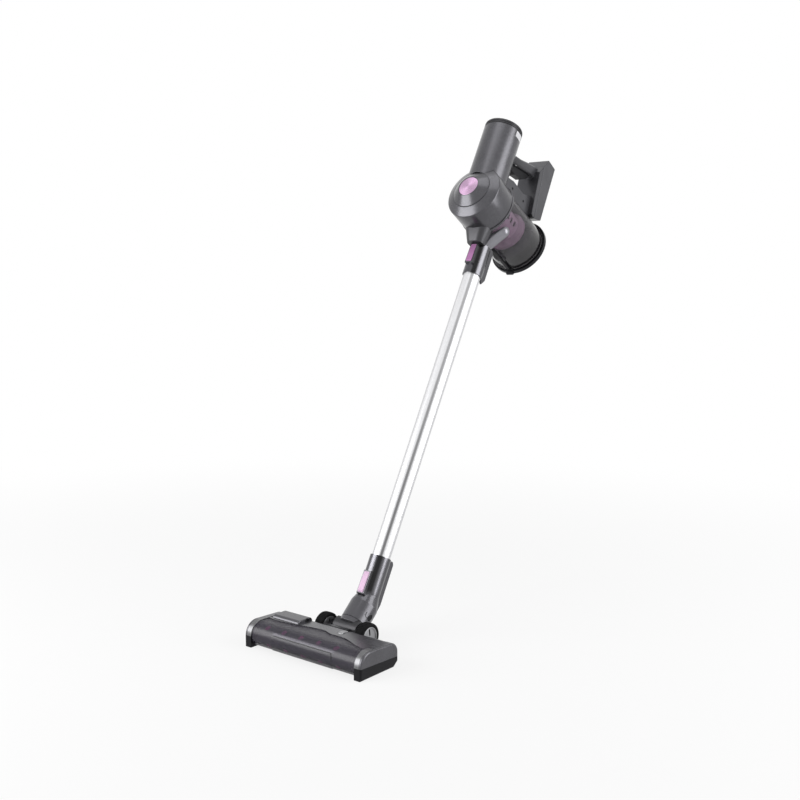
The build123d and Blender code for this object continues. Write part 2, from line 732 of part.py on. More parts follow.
def collar_cuts(bore_low, bore_top, button_low):
    """What is cut from a collar: the wand's bore, the contact slot and the button's pocket."""
    button_top = button_low + button_length
    with BuildPart() as cuts:
        extrude(disc(wand.offset(bore_low), tube_radius + socket_gap), amount=bore_top - bore_low)
        extrude(box_on(wand.offset(bore_low), 2 * (contact_half + running_gap), contact_slot,
                       (0, contact_slot / 2)), amount=bore_top - bore_low)
        extrude(closed(side(wand, 0), (-pocket_floor, button_low - running_gap),
                       (-40, button_low - running_gap), (-40, button_top + running_gap),
                       (-pocket_floor, button_top + running_gap)),
                amount=button_half + running_gap, both=True)
    return cuts.part


def release_button(low):
    """The button itself, lying in its seat with its travel still below it."""
    inner = pocket_floor + button_travel + 0.1
    with BuildPart() as button:
        extrude(closed(side(wand, 0), (-inner, low), (-seat_front - 0.4, low), (-seat_front - 1.8, low + 3),
                       (-seat_front - 1.0, low + button_length * 0.6),
                       (-seat_front + 0.5, low + button_length), (-inner, low + button_length)),
                amount=button_half, both=True)
        fillet(button.edges().filter_by(wand_axis).group_by(back_axis)[0], 0.8)
    return button.part


spine_foot = bend_height - 17     # where the lower collar's spine runs out into the elbow
spine_seam = 119.0
with BuildPart() as neck_elbow:
    extrude(disc(neck.offset(swivel_seam), neck_radius), amount=elbow_top - swivel_seam)
    with BuildSketch(neck.offset(elbow_top)):
        Circle(neck_radius)
    with BuildSketch(wand.offset(head_socket_low)):
        Circle(socket_radius)
    loft()
    add(collar_body(head_socket_low, head_socket_top,
                    [(spine_root, head_socket_low + 0.5), (spine_root - 6, spine_foot),
                     (spine_back - 7.5, spine_foot), (spine_back, spine_foot + 26),
                     (spine_back, head_socket_top - 6),
                     (spine_back - 5, head_socket_top), (spine_root, head_socket_top)],
                    head_button_low))
    add(collar_cuts(head_socket_top - socket_depth, head_socket_top + 2, head_button_low),
        mode=Mode.SUBTRACT)
    extrude(disc(wand.offset(bend_height - 3), air_radius + 0.5), amount=50, mode=Mode.SUBTRACT)
    extrude(disc(neck.offset(swivel_seam - 1), neck_tube_radius + running_gap), amount=23,
            mode=Mode.SUBTRACT)
    extrude(disc(neck.offset(swivel_seam), air_radius + 0.5), amount=pivot_reach - swivel_seam,
            mode=Mode.SUBTRACT)
    # joint line across the spine, where its back cover ends
    for end in (-1, 1):
        extrude(box_on(side(wand, end * (spine_half - 0.6)), spine_stand, 1.0,
                       (spine_back - spine_stand / 2 + 1, spine_seam)), amount=end * 4, mode=Mode.SUBTRACT)
    extrude(box_on(wand.offset(spine_seam - 0.5), 2 * spine_half + 2, 4, (0, spine_back + 1.4)),
            amount=1.0, mode=Mode.SUBTRACT)
    for end in (-1, 1):
        extrude(disc(side(neck, 0), keeper_radius + press_gap, (0, keeper_height)),
                amount=end * (neck_radius + 2), mode=Mode.SUBTRACT)
        with BuildSketch(side(neck, end * (neck_radius - 2.0))):
            with Locations((0, keeper_height)):
                SlotOverall(13, 8.4, rotation=60)
        extrude(amount=end * 4, mode=Mode.SUBTRACT)
neck_elbow.part.label = "neck_elbow"
export_step(neck_elbow.part, "parts/neck_elbow.step")

with BuildPart() as swivel_keepers:
    for end in (-1, 1):
        extrude(disc(side(neck, end * (neck_tube_radius - 0.9)), keeper_radius, (0, keeper_height)),
                amount=end * (neck_radius - neck_tube_radius - 0.6))
        with BuildSketch(side(neck, end * (neck_radius - 1.98))):
            with Locations((0, keeper_height)):
                SlotOverall(12.4, 7.8, rotation=60)
        extrude(amount=end * 1.3)
swivel_keepers.part.label = "swivel_keepers"
export_step(swivel_keepers.part, "parts/swivel_keepers.step")

with BuildPart() as head_button:
    add(release_button(head_button_low))
head_button.part.label = "head_button"
export_step(head_button.part, "parts/head_button.step")

# ------------------------------------------------------------------ wand

wand_low = head_socket_top - socket_depth + running_gap
wand_top = inlet_socket_low + socket_depth - running_gap
with BuildPart() as wand_tube:
    extrude(ring(wand.offset(wand_low), tube_radius, tube_radius - tube_wall),
            amount=wand_top - wand_low)
wand_tube.part.label = "wand_tube"
export_step(wand_tube.part, "parts/wand_tube.step")

with BuildPart() as wand_contacts:
    for low, top in ((wand_low + 1.5, head_socket_top - 6), (inlet_socket_low + 6, wand_top - 1.5)):
        extrude(box_on(wand.offset(low), 2 * contact_half, contact_back - 10,
                       (0, (contact_back + 10) / 2), 1.0), amount=top - low)
        extrude(disc(wand.offset(low - 1), tube_radius + press_gap), amount=top - low + 2,
                mode=Mode.SUBTRACT)
wand_contacts.part.label = "wand_contacts"
export_step(wand_contacts.part, "parts/wand_contacts.step")

# ------------------------------------------------------------------ hand-held unit: inlet

pipe_start = wand.from_local_coords((3.3, 0, inlet_socket_top))
pipe_meets = cup_radius - cup_wall
pipe_end = wand.from_local_coords(
    (pipe_meets * sin(pipe_turn), 4, drum_height - pipe_meets * cos(pipe_turn))
)
pipe_dir = (pipe_end - pipe_start).normalized()
pipe = Plane(pipe_start - pipe_dir * 20, x_dir=pipe_dir.cross(wand.y_dir), z_dir=pipe_dir)
pipe_length = (pipe_end - pipe_start).length + 20


def drum_form(lift):
    """The outside of the drum and cup, grown by a distance, as a cutting body."""
    with BuildPart() as form:
        revolve(closed(section(drum), (0, cup_end), (cup_radius + lift, cup_end),
                       (cup_radius + lift, drum_rim - lift), (rim_radius + lift, drum_rim - lift),
                       (rim_radius + lift, drum_rim + 2.4 + lift),
                       (drum_radius + lift, drum_rim + 3.4 + lift),
                       (drum_radius + lift, drum_shoulder), (cap_radius + 2 * running_gap, cap_front + lift),
                       (cap_radius + 2 * running_gap, disc_front), (0, disc_front)), axis=axis_of(drum))
    return form.part


drum_cut = drum_form(seam)

with BuildPart() as inlet_collar:
    add(collar_body(inlet_socket_low, inlet_socket_top,
                    [(spine_root, inlet_socket_low), (spine_back - 10, inlet_socket_low),
                     (spine_back - 7, inlet_socket_low - 5), (spine_back, inlet_socket_low + 6),
                     (spine_back - 0.5, inlet_socket_top), (spine_back - 4, inlet_socket_top + 7),
                     (spine_back - 13, inlet_socket_top + 7), (spine_root, inlet_socket_top)],
                    inlet_button_low))
    add(collar_cuts(inlet_socket_low - 10, inlet_socket_low + socket_depth, inlet_button_low),
        mode=Mode.SUBTRACT)
    extrude(disc(moved(wand, 3.3, 0, inlet_socket_low + socket_depth - 1), pipe_radius - pipe_wall),
            amount=30, mode=Mode.SUBTRACT)
inlet_collar.part.label = "inlet_collar"
export_step(inlet_collar.part, "parts/inlet_collar.step")

with BuildPart() as inlet_button:
    add(release_button(inlet_button_low))
inlet_button.part.label = "inlet_button"
export_step(inlet_button.part, "parts/inlet_button.step")

with BuildPart() as inlet_pipe:
    extrude(disc(pipe, pipe_radius), amount=pipe_length)
    with Locations(pipe_end):
        Sphere(pipe_radius)
    extrude(disc(pipe, pipe_radius - pipe_wall), amount=pipe_length, mode=Mode.SUBTRACT)
    with Locations(pipe_end):
        Sphere(pipe_radius - pipe_wall, mode=Mode.SUBTRACT)
    add(drum_cut, mode=Mode.SUBTRACT)
    split(bisect_by=wand.offset(inlet_socket_top), keep=Keep.TOP)
inlet_pipe.part.label = "inlet_pipe"
export_step(inlet_pipe.part, "parts/inlet_pipe.step")

web_root = 4.0
web_sections = ((741, 14, 28), (757, 19, 35), (782, 27, 43))
with BuildPart() as collar_web:
    for level, half, front in web_sections:
        with BuildSketch(wand.offset(level)):
            with Locations((0, -(front + web_root) / 2)):
                RectangleRounded(2 * half, front - web_root, (front - web_root) * 0.42)
    loft()
    add(drum_cut, mode=Mode.SUBTRACT)
    extrude(disc(wand.offset(700), socket_radius + seam), amount=inlet_socket_top - 700 + seam,
            mode=Mode.SUBTRACT)
    extrude(disc(pipe, pipe_radius + seam), amount=pipe_length, mode=Mode.SUBTRACT)
    extrude(closed(side(wand, 0), (0, 700), (-40, 700),
                   (-40, inlet_button_low + button_length + seat_lip + seam),
                   (0, inlet_button_low + button_length + seat_lip + seam)),
            amount=30, both=True, mode=Mode.SUBTRACT)
collar_web.part.label = "collar_web"
export_step(collar_web.part, "parts/collar_web.step")

# ------------------------------------------------------------------ hand-held unit: drum and filter

opening_radius = 35.7
bulkhead = 2.5
outlet_radius = 30.0
with BuildPart() as drum_housing:
    revolve(closed(section(drum), (rim_radius, drum_rim), (rim_radius, drum_rim + 2.4),
                   (drum_radius, drum_rim + 3.4), (drum_radius, drum_shoulder),
                   (cap_radius + 0.3, cap_front), (opening_radius, cap_front),
                   (opening_radius, cap_front - drum_wall),
                   (drum_radius - drum_wall, drum_shoulder - 1.2),
                   (drum_radius - drum_wall, drum_rim + bulkhead),
                   (outlet_radius, drum_rim + bulkhead), (outlet_radius, drum_rim)),
            axis=axis_of(drum))
    extrude(disc(barrel.offset(drum_height + 30), 25), amount=60, mode=Mode.SUBTRACT)
drum_housing.part.label = "drum_housing"
export_step(drum_housing.part, "parts/drum_housing.step")

with BuildPart() as filter_cap:
    revolve(closed(section(drum), (cap_radius, cap_front + running_gap),
                   (disc_radius + 0.5, disc_front + 0.2), (disc_radius + press_gap, disc_front + 0.2),
                   (disc_radius + press_gap, disc_front - 1.6),
                   (0, disc_front - 1.6), (0, disc_front - 3.6), (disc_radius, disc_front - 3.6),
                   (opening_radius - running_gap - 2, cap_front - 2),
                   (opening_radius - running_gap - 2, cap_front - 9),
                   (opening_radius - running_gap, cap_front - 9),
                   (opening_radius - running_gap, cap_front + running_gap)), axis=axis_of(drum))
filter_cap.part.label = "filter_cap"
export_step(filter_cap.part, "parts/filter_cap.step")

with BuildPart() as cap_disc:
    extrude(disc(drum.offset(disc_front - 1.6), disc_radius), amount=1.6)
    chamfer(cap_disc.faces().sort_by(axis_of(drum))[-1].edges(), 0.5)
cap_disc.part.label = "cap_disc"
export_step(cap_disc.part, "parts/cap_disc.step")

filter_radius = 27.0
filter_pleats = 24
with BuildPart() as pre_filter:
    with BuildSketch(drum.offset(drum_rim + 6)):
        with BuildLine():
            Polyline(*[
                (radius * cos(pi * k / filter_pleats), radius * sin(pi * k / filter_pleats))
                for k in range(2 * filter_pleats)
                for radius in ((filter_radius, filter_radius - 3)[k % 2],)
            ], close=True)
        make_face()
    extrude(amount=cap_front + 2 - drum_rim - 6)
    extrude(disc(drum.offset(drum_rim), 17), amount=50, mode=Mode.SUBTRACT)
pre_filter.part.label = "pre_filter"
export_step(pre_filter.part, "parts/pre_filter.step")

# ------------------------------------------------------------------ hand-held unit: motor barrel

barrel_bore = barrel_radius - barrel_wall


def label_patch(inner, outer):
    """A curved plate on the barrel's side, where the display window sits."""
    first, last = radians(81), radians(114)
    reach = 2 * barrel_radius
    with BuildPart() as patch:
        extrude(ring(barrel.offset(barrel_top - 13), outer, inner), amount=11.6)
        extrude(closed(barrel, (0, 0), (reach * sin(first), -reach * cos(first)),
                       (reach * sin(last), -reach * cos(last))), amount=barrel_top,
                mode=Mode.INTERSECT)
    return patch.part


with BuildPart() as barrel_housing:
    extrude(ring(barrel.offset(drum_height), barrel_radius, barrel_bore), amount=barrel_top - drum_height)
    add(drum_form(seam + 0.05), mode=Mode.SUBTRACT)
    # the cup side of the barrel stops on the drum's line as well
    extrude(disc(drum, drum_radius + seam + 0.05), amount=drum_rim + 1, mode=Mode.SUBTRACT)
    add(label_patch(barrel_radius - 0.6, barrel_radius + 2), mode=Mode.SUBTRACT)
barrel_housing.part.label = "barrel_housing"
export_step(barrel_housing.part, "parts/barrel_housing.step")

with BuildPart() as indicator_window:
    add(label_patch(barrel_radius - 0.58, barrel_radius + 0.2))
indicator_window.part.label = "indicator_window"
export_step(indicator_window.part, "parts/indicator_window.step")

motor_low = 900.0
motor_top = 952.0
with BuildPart() as motor_can:
    extrude(disc(barrel.offset(motor_low), motor_radius), amount=motor_top - motor_low)
    chamfer(motor_can.edges().filter_by(GeomType.CIRCLE), 2)
    extrude(disc(barrel.offset(motor_low - 1), 2.5 + shaft_gap), amount=16, mode=Mode.SUBTRACT)
    with BuildSketch(barrel.offset(motor_top - 6)):
        with PolarLocations(18, 8):
            Circle(3.2)
    extrude(amount=8, mode=Mode.SUBTRACT)
    # spider that holds it in the barrel
    with BuildSketch(barrel.offset(motor_low + 14)):
        Circle(barrel_bore - seam)
        Circle(motor_radius - 1, mode=Mode.SUBTRACT)
        with PolarLocations((motor_radius + barrel_bore) / 2, 12):
            Circle(2.2, mode=Mode.SUBTRACT)
    extrude(amount=12)
motor_can.part.label = "motor_can"
export_step(motor_can.part, "parts/motor_can.step")

impeller_radius = 24.0
impeller_blades = 9
with BuildPart() as impeller:
    revolve(closed(section(barrel), (0, 883), (6, 883), (9, 889), (impeller_radius, 896),
                   (impeller_radius, 897.4), (0, 897.4)), axis=axis_of(barrel))
    extrude(disc(barrel.offset(897), 2.5), amount=14)
    with BuildSketch(barrel.offset(885)):
        with PolarLocations(14, impeller_blades):
            Rectangle(18, 1.2, rotation=24)
    extrude(amount=12)
    extrude(ring(barrel.offset(880), 40, impeller_radius), amount=30, mode=Mode.SUBTRACT)
impeller.part.label = "impeller"
export_step(impeller.part, "parts/impeller.step")

cap_low = barrel_top + running_gap
cap_groove = 3.8           # step line round the cap, above its foot
slot_width = 2.6
spoke_width = 3.4
with BuildPart() as exhaust_cap:
    extrude(disc(barrel.offset(cap_low), barrel_radius), amount=barrel_cap_height - running_gap)
    fillet(exhaust_cap.faces().sort_by(axis_of(barrel))[-1].edges(), 3.0)
    for groove in (0, cap_groove):
        extrude(ring(barrel.offset(cap_low + groove - 1), barrel_radius + 2, barrel_radius - 0.8),
                amount=2.2, mode=Mode.SUBTRACT)
    extrude(ring(barrel.offset(cap_low - 9), barrel_bore - running_gap, barrel_bore - 2.3), amount=12)
    extrude(disc(barrel.offset(cap_low - 10), barrel_bore - 2.3), amount=13, mode=Mode.SUBTRACT)
    with BuildSketch(barrel.offset(cap_low)):
        for reach in (26, 19, 12):
            Circle(reach + slot_width / 2)
            Circle(reach - slot_width / 2, mode=Mode.SUBTRACT)
        for turn in range(0, 180, 60):
            Rectangle(2 * barrel_radius, spoke_width, rotation=turn, mode=Mode.SUBTRACT)
    extrude(amount=20, mode=Mode.SUBTRACT)
exhaust_cap.part.label = "exhaust_cap"
export_step(exhaust_cap.part, "parts/exhaust_cap.step")

with BuildPart() as exhaust_filter:
    extrude(disc(barrel.offset(motor_top + 4), barrel_bore - 2.3 - press_gap),
            amount=cap_low + 3 - motor_top - 4)
exhaust_filter.part.label = "exhaust_filter"
export_step(exhaust_filter.part, "parts/exhaust_filter.step")

# ------------------------------------------------------------------ hand-held unit: dust cup

cup_front = drum_rim - running_gap
hinge_up = cup_radius + hinge_stand
lid_radius = cup_radius + lid_overhang
lug_inner = 6.0
lug_outer = 12.0
with BuildPart() as dust_cup:
    extrude(ring(drum.offset(cup_end), cup_radius, cup_radius - cup_wall), amount=cup_front - cup_end)
    extrude(ring(drum.offset(cup_end), cup_radius + 3.0, cup_radius - 1), amount=3.5)
    extrude(disc(pipe, pipe_radius - pipe_wall), amount=pipe_length, mode=Mode.SUBTRACT)
    for end in (-1, 1):
        with BuildSketch(side(drum, end * lug_inner)) as lug:
            with BuildLine():
                Polyline((cup_radius - 1, cup_end), (cup_radius + 0.6, cup_end - 0.4),
                         (hinge_up, hinge_depth - hinge_knuckle),
                         (hinge_up + hinge_knuckle, hinge_depth), (hinge_up, -100),
                         (cup_radius - 1, -96), close=True)
            make_face()
            with Locations((hinge_up, hinge_depth)):
                Circle(hinge_knuckle)
        extrude(amount=end * (lug_outer - lug_inner))
    extrude(disc(side(drum, 0), hinge_pin_radius + press_gap, (hinge_up, hinge_depth)),
            amount=lug_outer + 1, both=True, mode=Mode.SUBTRACT)
    # rails the lid release slides between
    for end in (-1, 1):
        extrude(box_on(side(drum, end * 6.4), 4.6, 50, (-cup_radius - 1.3, -50)), amount=end * 2.4)
dust_cup.part.label = "dust_cup"
export_step(dust_cup.part, "parts/dust_cup.step")

lid_front = cup_end - 1.3
with BuildPart() as cup_lid:
    extrude(disc(drum.offset(lid_front), lid_radius), amount=-lid_thickness)
    fillet(cup_lid.faces().sort_by(axis_of(drum))[0].edges(), 3.0)
    extrude(disc(drum.offset(lid_front - lid_thickness + 2.2), lid_radius - 10), amount=20,
            mode=Mode.SUBTRACT)
    # lug for the release hook, on the wand side
    extrude(closed(side(drum, 0), (-lid_radius + 2, lid_front), (-lid_radius - 4, lid_front - 1),
                   (-lid_radius - 4, lid_front - 5), (-lid_radius + 2, lid_front - lid_thickness + 1)),
            amount=7, both=True)
    # room for the cup's hinge lugs, then the lid's own knuckle
    for end in (-1, 1):
        extrude(box_on(side(drum, end * (lug_inner - running_gap)), 14, 24,
                       (hinge_up + 3.6, hinge_depth)),
                amount=end * (lug_outer - lug_inner + 2 * running_gap), mode=Mode.SUBTRACT)
    extrude(disc(side(drum, 0), hinge_knuckle, (hinge_up, hinge_depth)),
            amount=lug_inner - running_gap, both=True)
    extrude(disc(side(drum, 0), hinge_pin_radius + shaft_gap, (hinge_up, hinge_depth)),
            amount=lug_outer, both=True, mode=Mode.SUBTRACT)
cup_lid.part.label = "cup_lid"
export_step(cup_lid.part, "parts/cup_lid.step")

with BuildPart() as lid_seal:
    revolve(closed(section(drum), (lid_radius - 10 - seam, lid_front - lid_thickness + 2.2),
                   (lid_radius - 13, lid_front - lid_thickness + 2.2), (lid_radius - 13, lid_front + 4),
                   (cup_radius - cup_wall - 0.4, lid_front + 4),
                   (cup_radius - cup_wall - 0.4, lid_front + 1),
                   (lid_radius - 10 - seam, lid_front)), axis=axis_of(drum))
lid_seal.part.label = "lid_seal"
export_step(lid_seal.part, "parts/lid_seal.step")

with BuildPart() as cyclone_shroud:
    revolve(closed(section(drum), (shroud_radius + 3, drum_rim - seam), (shroud_radius + 3, drum_rim - 2.5),
                   (shroud_radius, drum_rim - 2.5), (shroud_radius, -44), (shroud_radius + 7, -52),
                   (shroud_radius + 7, -59), (shroud_radius + 5, -59), (shroud_radius + 5, -53),
                   (shroud_radius - 2, -45), (shroud_radius - 2, drum_rim - seam)), axis=axis_of(drum))
    with BuildSketch(side(drum, 0)):
        with GridLocations(0, 12, 1, 4):
            with Locations((0, -14)):
                Rectangle(11, 6)
    extrude(amount=60, both=True, mode=Mode.SUBTRACT)
    with BuildSketch(Plane(drum.origin, x_dir=drum.x_dir, z_dir=drum.y_dir)):
        with GridLocations(0, 12, 1, 4):
            with Locations((0, 14)):
                Rectangle(11, 6)
    extrude(amount=60, both=True, mode=Mode.SUBTRACT)
    # the inner cone
    revolve(closed(section(drum), (shroud_radius - 1, drum_rim - seam), (shroud_radius - 4, drum_rim - seam),
                   (20, 6), (10, -70), (12, -70), (22, 6), (shroud_radius - 1, drum_rim - 3)),
            axis=axis_of(drum))
cyclone_shroud.part.label = "cyclone_shroud"
export_step(cyclone_shroud.part, "parts/cyclone_shroud.step")

# lid release: a slider under the cup, drawn towards the drum
slider_top = cup_radius + 0.8
with BuildPart() as lid_release:
    extrude(closed(side(drum, 0), (-slider_top, -35), (-slider_top - 5, -36), (-slider_top - 6.4, -40),
                   (-slider_top - 5.0, -50), (-slider_top - 6.4, -62), (-slider_top - 5, -67),
                   (-slider_top, -67)), amount=6, both=True)
    extrude(closed(side(drum, 0), (-slider_top, -66), (-slider_top - 3.4, -66),
                   (-slider_top - 3.4, cup_end + 1), (-slider_top, cup_end + 1)), amount=3, both=True)
    extrude(closed(side(drum, 0), (-slider_top + 1, -100), (-slider_top - 3.2, -100),
                   (-slider_top - 3.2, cup_end), (-slider_top + 1, cup_end)), amount=3, both=True,
            mode=Mode.SUBTRACT)
lid_release.part.label = "lid_release"
export_step(lid_release.part, "parts/lid_release.step")

# ------------------------------------------------------------------ hand-held unit: handle

split_foot = wand.from_local_coords((0, 98.8, 882))
split_head = wand.from_local_coords((0, 81.1, 984))
split_dir = (split_head - split_foot).normalized()
rail = Plane(split_foot, x_dir=(1, 0, 0), z_dir=split_dir)
split_length = (split_head - split_foot).length
trigger_pivot = (9, 940)
slot_half = trigger_half + 0.5
screw_spots = ((62, 893), (18, 893))

with BuildPart() as handle:
    extrude(closed(side(wand, 0), (-20, 931), (-20, 951.5), (-14, 953), (20, 961), (44, 970), (80, 981),
                   (84, 956), (72, 955), (30, 944), (-14, 932)), amount=grip_half, both=True)
    fillet(handle.edges().filter_by(GeomType.LINE).filter_by(
        lambda edge: abs(edge.center().X) > grip_half - 0.1 and edge.length > 22), grip_round)
    extrude(closed(side(wand, 0), (-12, 868), (-3, 903), (15, 907), (56, 905), (82, 917), (90, 900),
                   (90, 860), (-12, 860)), amount=panel_half, both=True)
    extrude(closed(side(wand, 0), (88, 880), (94, 877), (99.5, 878), (81.1, 984), (73, 967)),
            amount=block_half, both=True)
    chamfer(handle.faces().filter_by(Axis.X).filter_by(
        lambda face: abs(face.center().X) > block_half - 0.1).edges(), 1.0)
    add(drum_form(0.6), mode=Mode.SUBTRACT)
    extrude(disc(drum.offset(cup_end - 1), cup_radius + 3.6), amount=6, mode=Mode.SUBTRACT)
    extrude(disc(barrel.offset(drum_height), barrel_radius + seam), amount=160, mode=Mode.SUBTRACT)
    extrude(box_on(rail, 120, 40, (0, 20)), amount=split_length + 60, both=True, mode=Mode.SUBTRACT)
    # slot for the trigger and the bore for its pin
    extrude(closed(side(wand, 0), (3, 915), (3, 947), (66, 962), (66, 915)), amount=slot_half, both=True,
            mode=Mode.SUBTRACT)
    extrude(disc(side(wand, 0), 1.5 + press_gap, trigger_pivot), amount=grip_half - 1.5, both=True,
            mode=Mode.SUBTRACT)
    for spot in screw_spots:
        extrude(disc(side(wand, panel_half - 1.6), 2.6, spot), amount=3, mode=Mode.SUBTRACT)

for end, name in ((-1, "left"), (1, "right")):
    with BuildPart() as handle_half:
        add(handle.part)
        split(bisect_by=Plane((end * seam / 2, 0, 0), z_dir=(end, 0, 0)), keep=Keep.TOP)
    handle_half.part.label = "handle_" + name
    export_step(handle_half.part, "parts/handle_" + name + ".step")

with BuildPart() as hinge_pins:
    extrude(disc(side(wand, 0), 1.5, trigger_pivot), amount=grip_half - 1.6, both=True)
    extrude(disc(side(drum, 0), hinge_pin_radius, (hinge_up, hinge_depth)), amount=lug_outer, both=True)
hinge_pins.part.label = "hinge_pins"
export_step(hinge_pins.part, "parts/hinge_pins.step")

with BuildPart() as trigger:
    extrude(closed(side(wand, 0), (4.2, 944), (4.2, 929), (8, 926.5), (20, 926), (32, 929.5), (46, 932.5),
                   (56, 940), (64, 950), (60, 953), (30, 946), (14, 945)), amount=trigger_half, both=True)
    fillet(trigger.edges().filter_by(Axis.X).group_by(wand_axis)[0], 1.5)
    extrude(disc(side(wand, 0), 1.5 + shaft_gap, trigger_pivot), amount=grip_half, both=True,
            mode=Mode.SUBTRACT)
trigger.part.label = "trigger"
export_step(trigger.part, "parts/trigger.step")

rail_stem = 5.0
rail_head = 9.0
with BuildPart() as battery_rail:
    extrude(box_on(rail.offset(14), 2 * rail_stem, 3.2, (0, 1.6)), amount=62)
    extrude(box_on(rail.offset(14), 2 * rail_head, 3.0, (0, 4.5)), amount=62)
battery_rail.part.label = "battery_rail"
export_step(battery_rail.part, "parts/battery_rail.step")

with BuildPart() as battery_case:
    extrude(closed(side(wand, 0), (96, 876), (123, 886), (119, 1003), (91, 1005), (76, 973)),
            amount=block_half, both=True)
    chamfer(battery_case.faces().filter_by(Axis.X).edges(), 1.2)
    extrude(box_on(rail.offset(-30), 120, 80, (0, running_gap - 40)), amount=split_length + 90,
            mode=Mode.SUBTRACT)
    extrude(box_on(rail.offset(-30), 2 * (rail_stem + running_gap), 4, (0, 2)),
            amount=30 + 78, mode=Mode.SUBTRACT)
    extrude(box_on(rail.offset(-30), 2 * (rail_head + running_gap), 3.6 + running_gap, (0, 4.6)),
            amount=30 + 78, mode=Mode.SUBTRACT)
    # pocket for the release button, and for the charging jack
    extrude(closed(side(wand, 0), (112, 964), (135, 964), (135, 983), (112, 983)), amount=8.3, both=True,
            mode=Mode.SUBTRACT)
    extrude(disc(side(wand, -block_half - 1), 5 + press_gap, (110, 905)), amount=10.5,
            mode=Mode.SUBTRACT)
battery_case.part.label = "battery_case"
export_step(battery_case.part, "parts/battery_case.step")

with BuildPart() as charge_jack:
    extrude(ring(side(wand, -block_half), 5, 2.8, (110, 905)), amount=9)
    extrude(disc(side(wand, -block_half + 9), 5, (110, 905)), amount=0.4)
charge_jack.part.label = "charge_jack"
export_step(charge_jack.part, "parts/charge_jack.step")

with BuildPart() as battery_button:
    extrude(closed(side(wand, 0), (115.2, 964.6), (121.2, 964.6), (120.6, 982.4), (115.2, 982.4)),
            amount=7.9, both=True)
    chamfer(battery_button.faces().sort_by(back_axis)[-1].edges(), 0.8)
battery_button.part.label = "battery_button"
export_step(battery_button.part, "parts/battery_button.step")

with BuildPart() as body_screws:
    for spot in screw_spots:
        extrude(disc(side(wand, panel_half - 1.6), 2.5, spot), amount=1.3)
        with BuildSketch(side(wand, panel_half - 0.8)):
            with Locations(spot):
                Rectangle(3.2, 0.7)
                Rectangle(0.7, 3.2)
        extrude(amount=1, mode=Mode.SUBTRACT)
body_screws.part.label = "body_screws"
export_step(body_screws.part, "parts/body_screws.step")
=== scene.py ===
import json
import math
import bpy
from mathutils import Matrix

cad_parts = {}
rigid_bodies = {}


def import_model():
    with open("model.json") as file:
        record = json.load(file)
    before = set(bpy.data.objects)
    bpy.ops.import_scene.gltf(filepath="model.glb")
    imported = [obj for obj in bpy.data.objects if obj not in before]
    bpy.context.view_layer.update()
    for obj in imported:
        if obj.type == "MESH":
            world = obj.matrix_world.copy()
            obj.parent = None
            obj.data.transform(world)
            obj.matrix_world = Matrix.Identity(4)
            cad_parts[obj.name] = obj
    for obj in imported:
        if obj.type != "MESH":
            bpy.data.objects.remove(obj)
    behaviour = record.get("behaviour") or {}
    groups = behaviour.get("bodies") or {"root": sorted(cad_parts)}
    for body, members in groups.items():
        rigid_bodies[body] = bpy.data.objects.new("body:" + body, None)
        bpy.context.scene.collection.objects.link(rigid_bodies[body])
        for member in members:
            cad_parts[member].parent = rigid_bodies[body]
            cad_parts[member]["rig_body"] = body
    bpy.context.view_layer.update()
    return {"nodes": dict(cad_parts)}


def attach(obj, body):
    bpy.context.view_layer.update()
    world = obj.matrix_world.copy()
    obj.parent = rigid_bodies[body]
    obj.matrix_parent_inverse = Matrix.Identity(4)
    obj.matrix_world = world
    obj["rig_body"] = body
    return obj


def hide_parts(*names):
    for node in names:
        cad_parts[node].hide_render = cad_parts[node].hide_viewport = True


bl_info = {
    "name": "Stick Vacuum",
    "version": (1, 0, 0),
    "blender": (4, 5, 0),
    "location": "View3D > Sidebar > Vacuum",
    "description": "Builds the visible pieces and finishes of a cordless stick vacuum round its packed frame",
    "category": "Add Mesh",
}

import bmesh
import bpy
from bpy.props import FloatProperty, FloatVectorProperty, IntProperty, PointerProperty
from mathutils import Matrix, Vector

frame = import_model()
MM = 0.001
NODES = frame["nodes"]

# ---------------------------------------------------------------- sizes and places

# The vacuum's lengths are in millimetres and the stage's in metres.
FLOOR_HALF = 40
# The wand leans back from its foot on the floor, and the neck leans further.
LEAN = math.radians(29.1)
NECK_LEAN = math.radians(48)
DRUM_TILT = math.radians(2.5)
WAND_FOOT = 82.2
BEND_HEIGHT = 68
DRUM_HEIGHT = 824
# Where the wheels' and the roller's axes cross the middle plane: y and z.
AXLE = (63.7, 23.2)
ROLLER = (-21.0, 18.5)
TYRE_RADIUS = 23.2
# The brush window: half its width, its outer radius about the roller, its wall and where its top ends;
# then the angle at which its round part starts and the angle it spans, in degrees, and the step down from
# its crown to its flat top.
WINDOW_HALF, WINDOW_REACH, WINDOW_WALL, WINDOW_REAR = 110.9, 22.0, 1.8, 12.0
WINDOW_FROM, WINDOW_SWEEP, WINDOW_STEP = -38, 128, 2
# Its raised band: left, right, low and high edges, the radius of its corners, its rise and its soft edge.
BAND = (-67, 64, -27.6, 29.2)
BAND_CORNER, BAND_RISE, BAND_EDGE = 5, 0.8, 0.9
# The box round a swivel keeper's slot, in the neck's y and z, along which a painted shadow is drawn.
KEEPER_SLOT = (-10.8, 30, 24.0, 60)
# Azimuth about the wand of the painted dark reflection that runs along it as a lengthwise stripe.
DARK_REFLECTION = -0.94
# Tufts: rows round the roller and tufts in each row, the degrees from row to row and to the first row, the
# pitch of a row's tufts, how far the even and the odd rows are shifted, and the radius at which they root.
TUFT_ROWS, ROW_TUFTS = 3, 5
ROW_TURN, FIRST_TURN = 106, 115
TUFT_PITCH, ROW_SHIFTS = 37.6, (13.0, 4.0)
TUFT_ROOT, TUFT_RADIUS = 15.0, 4.3
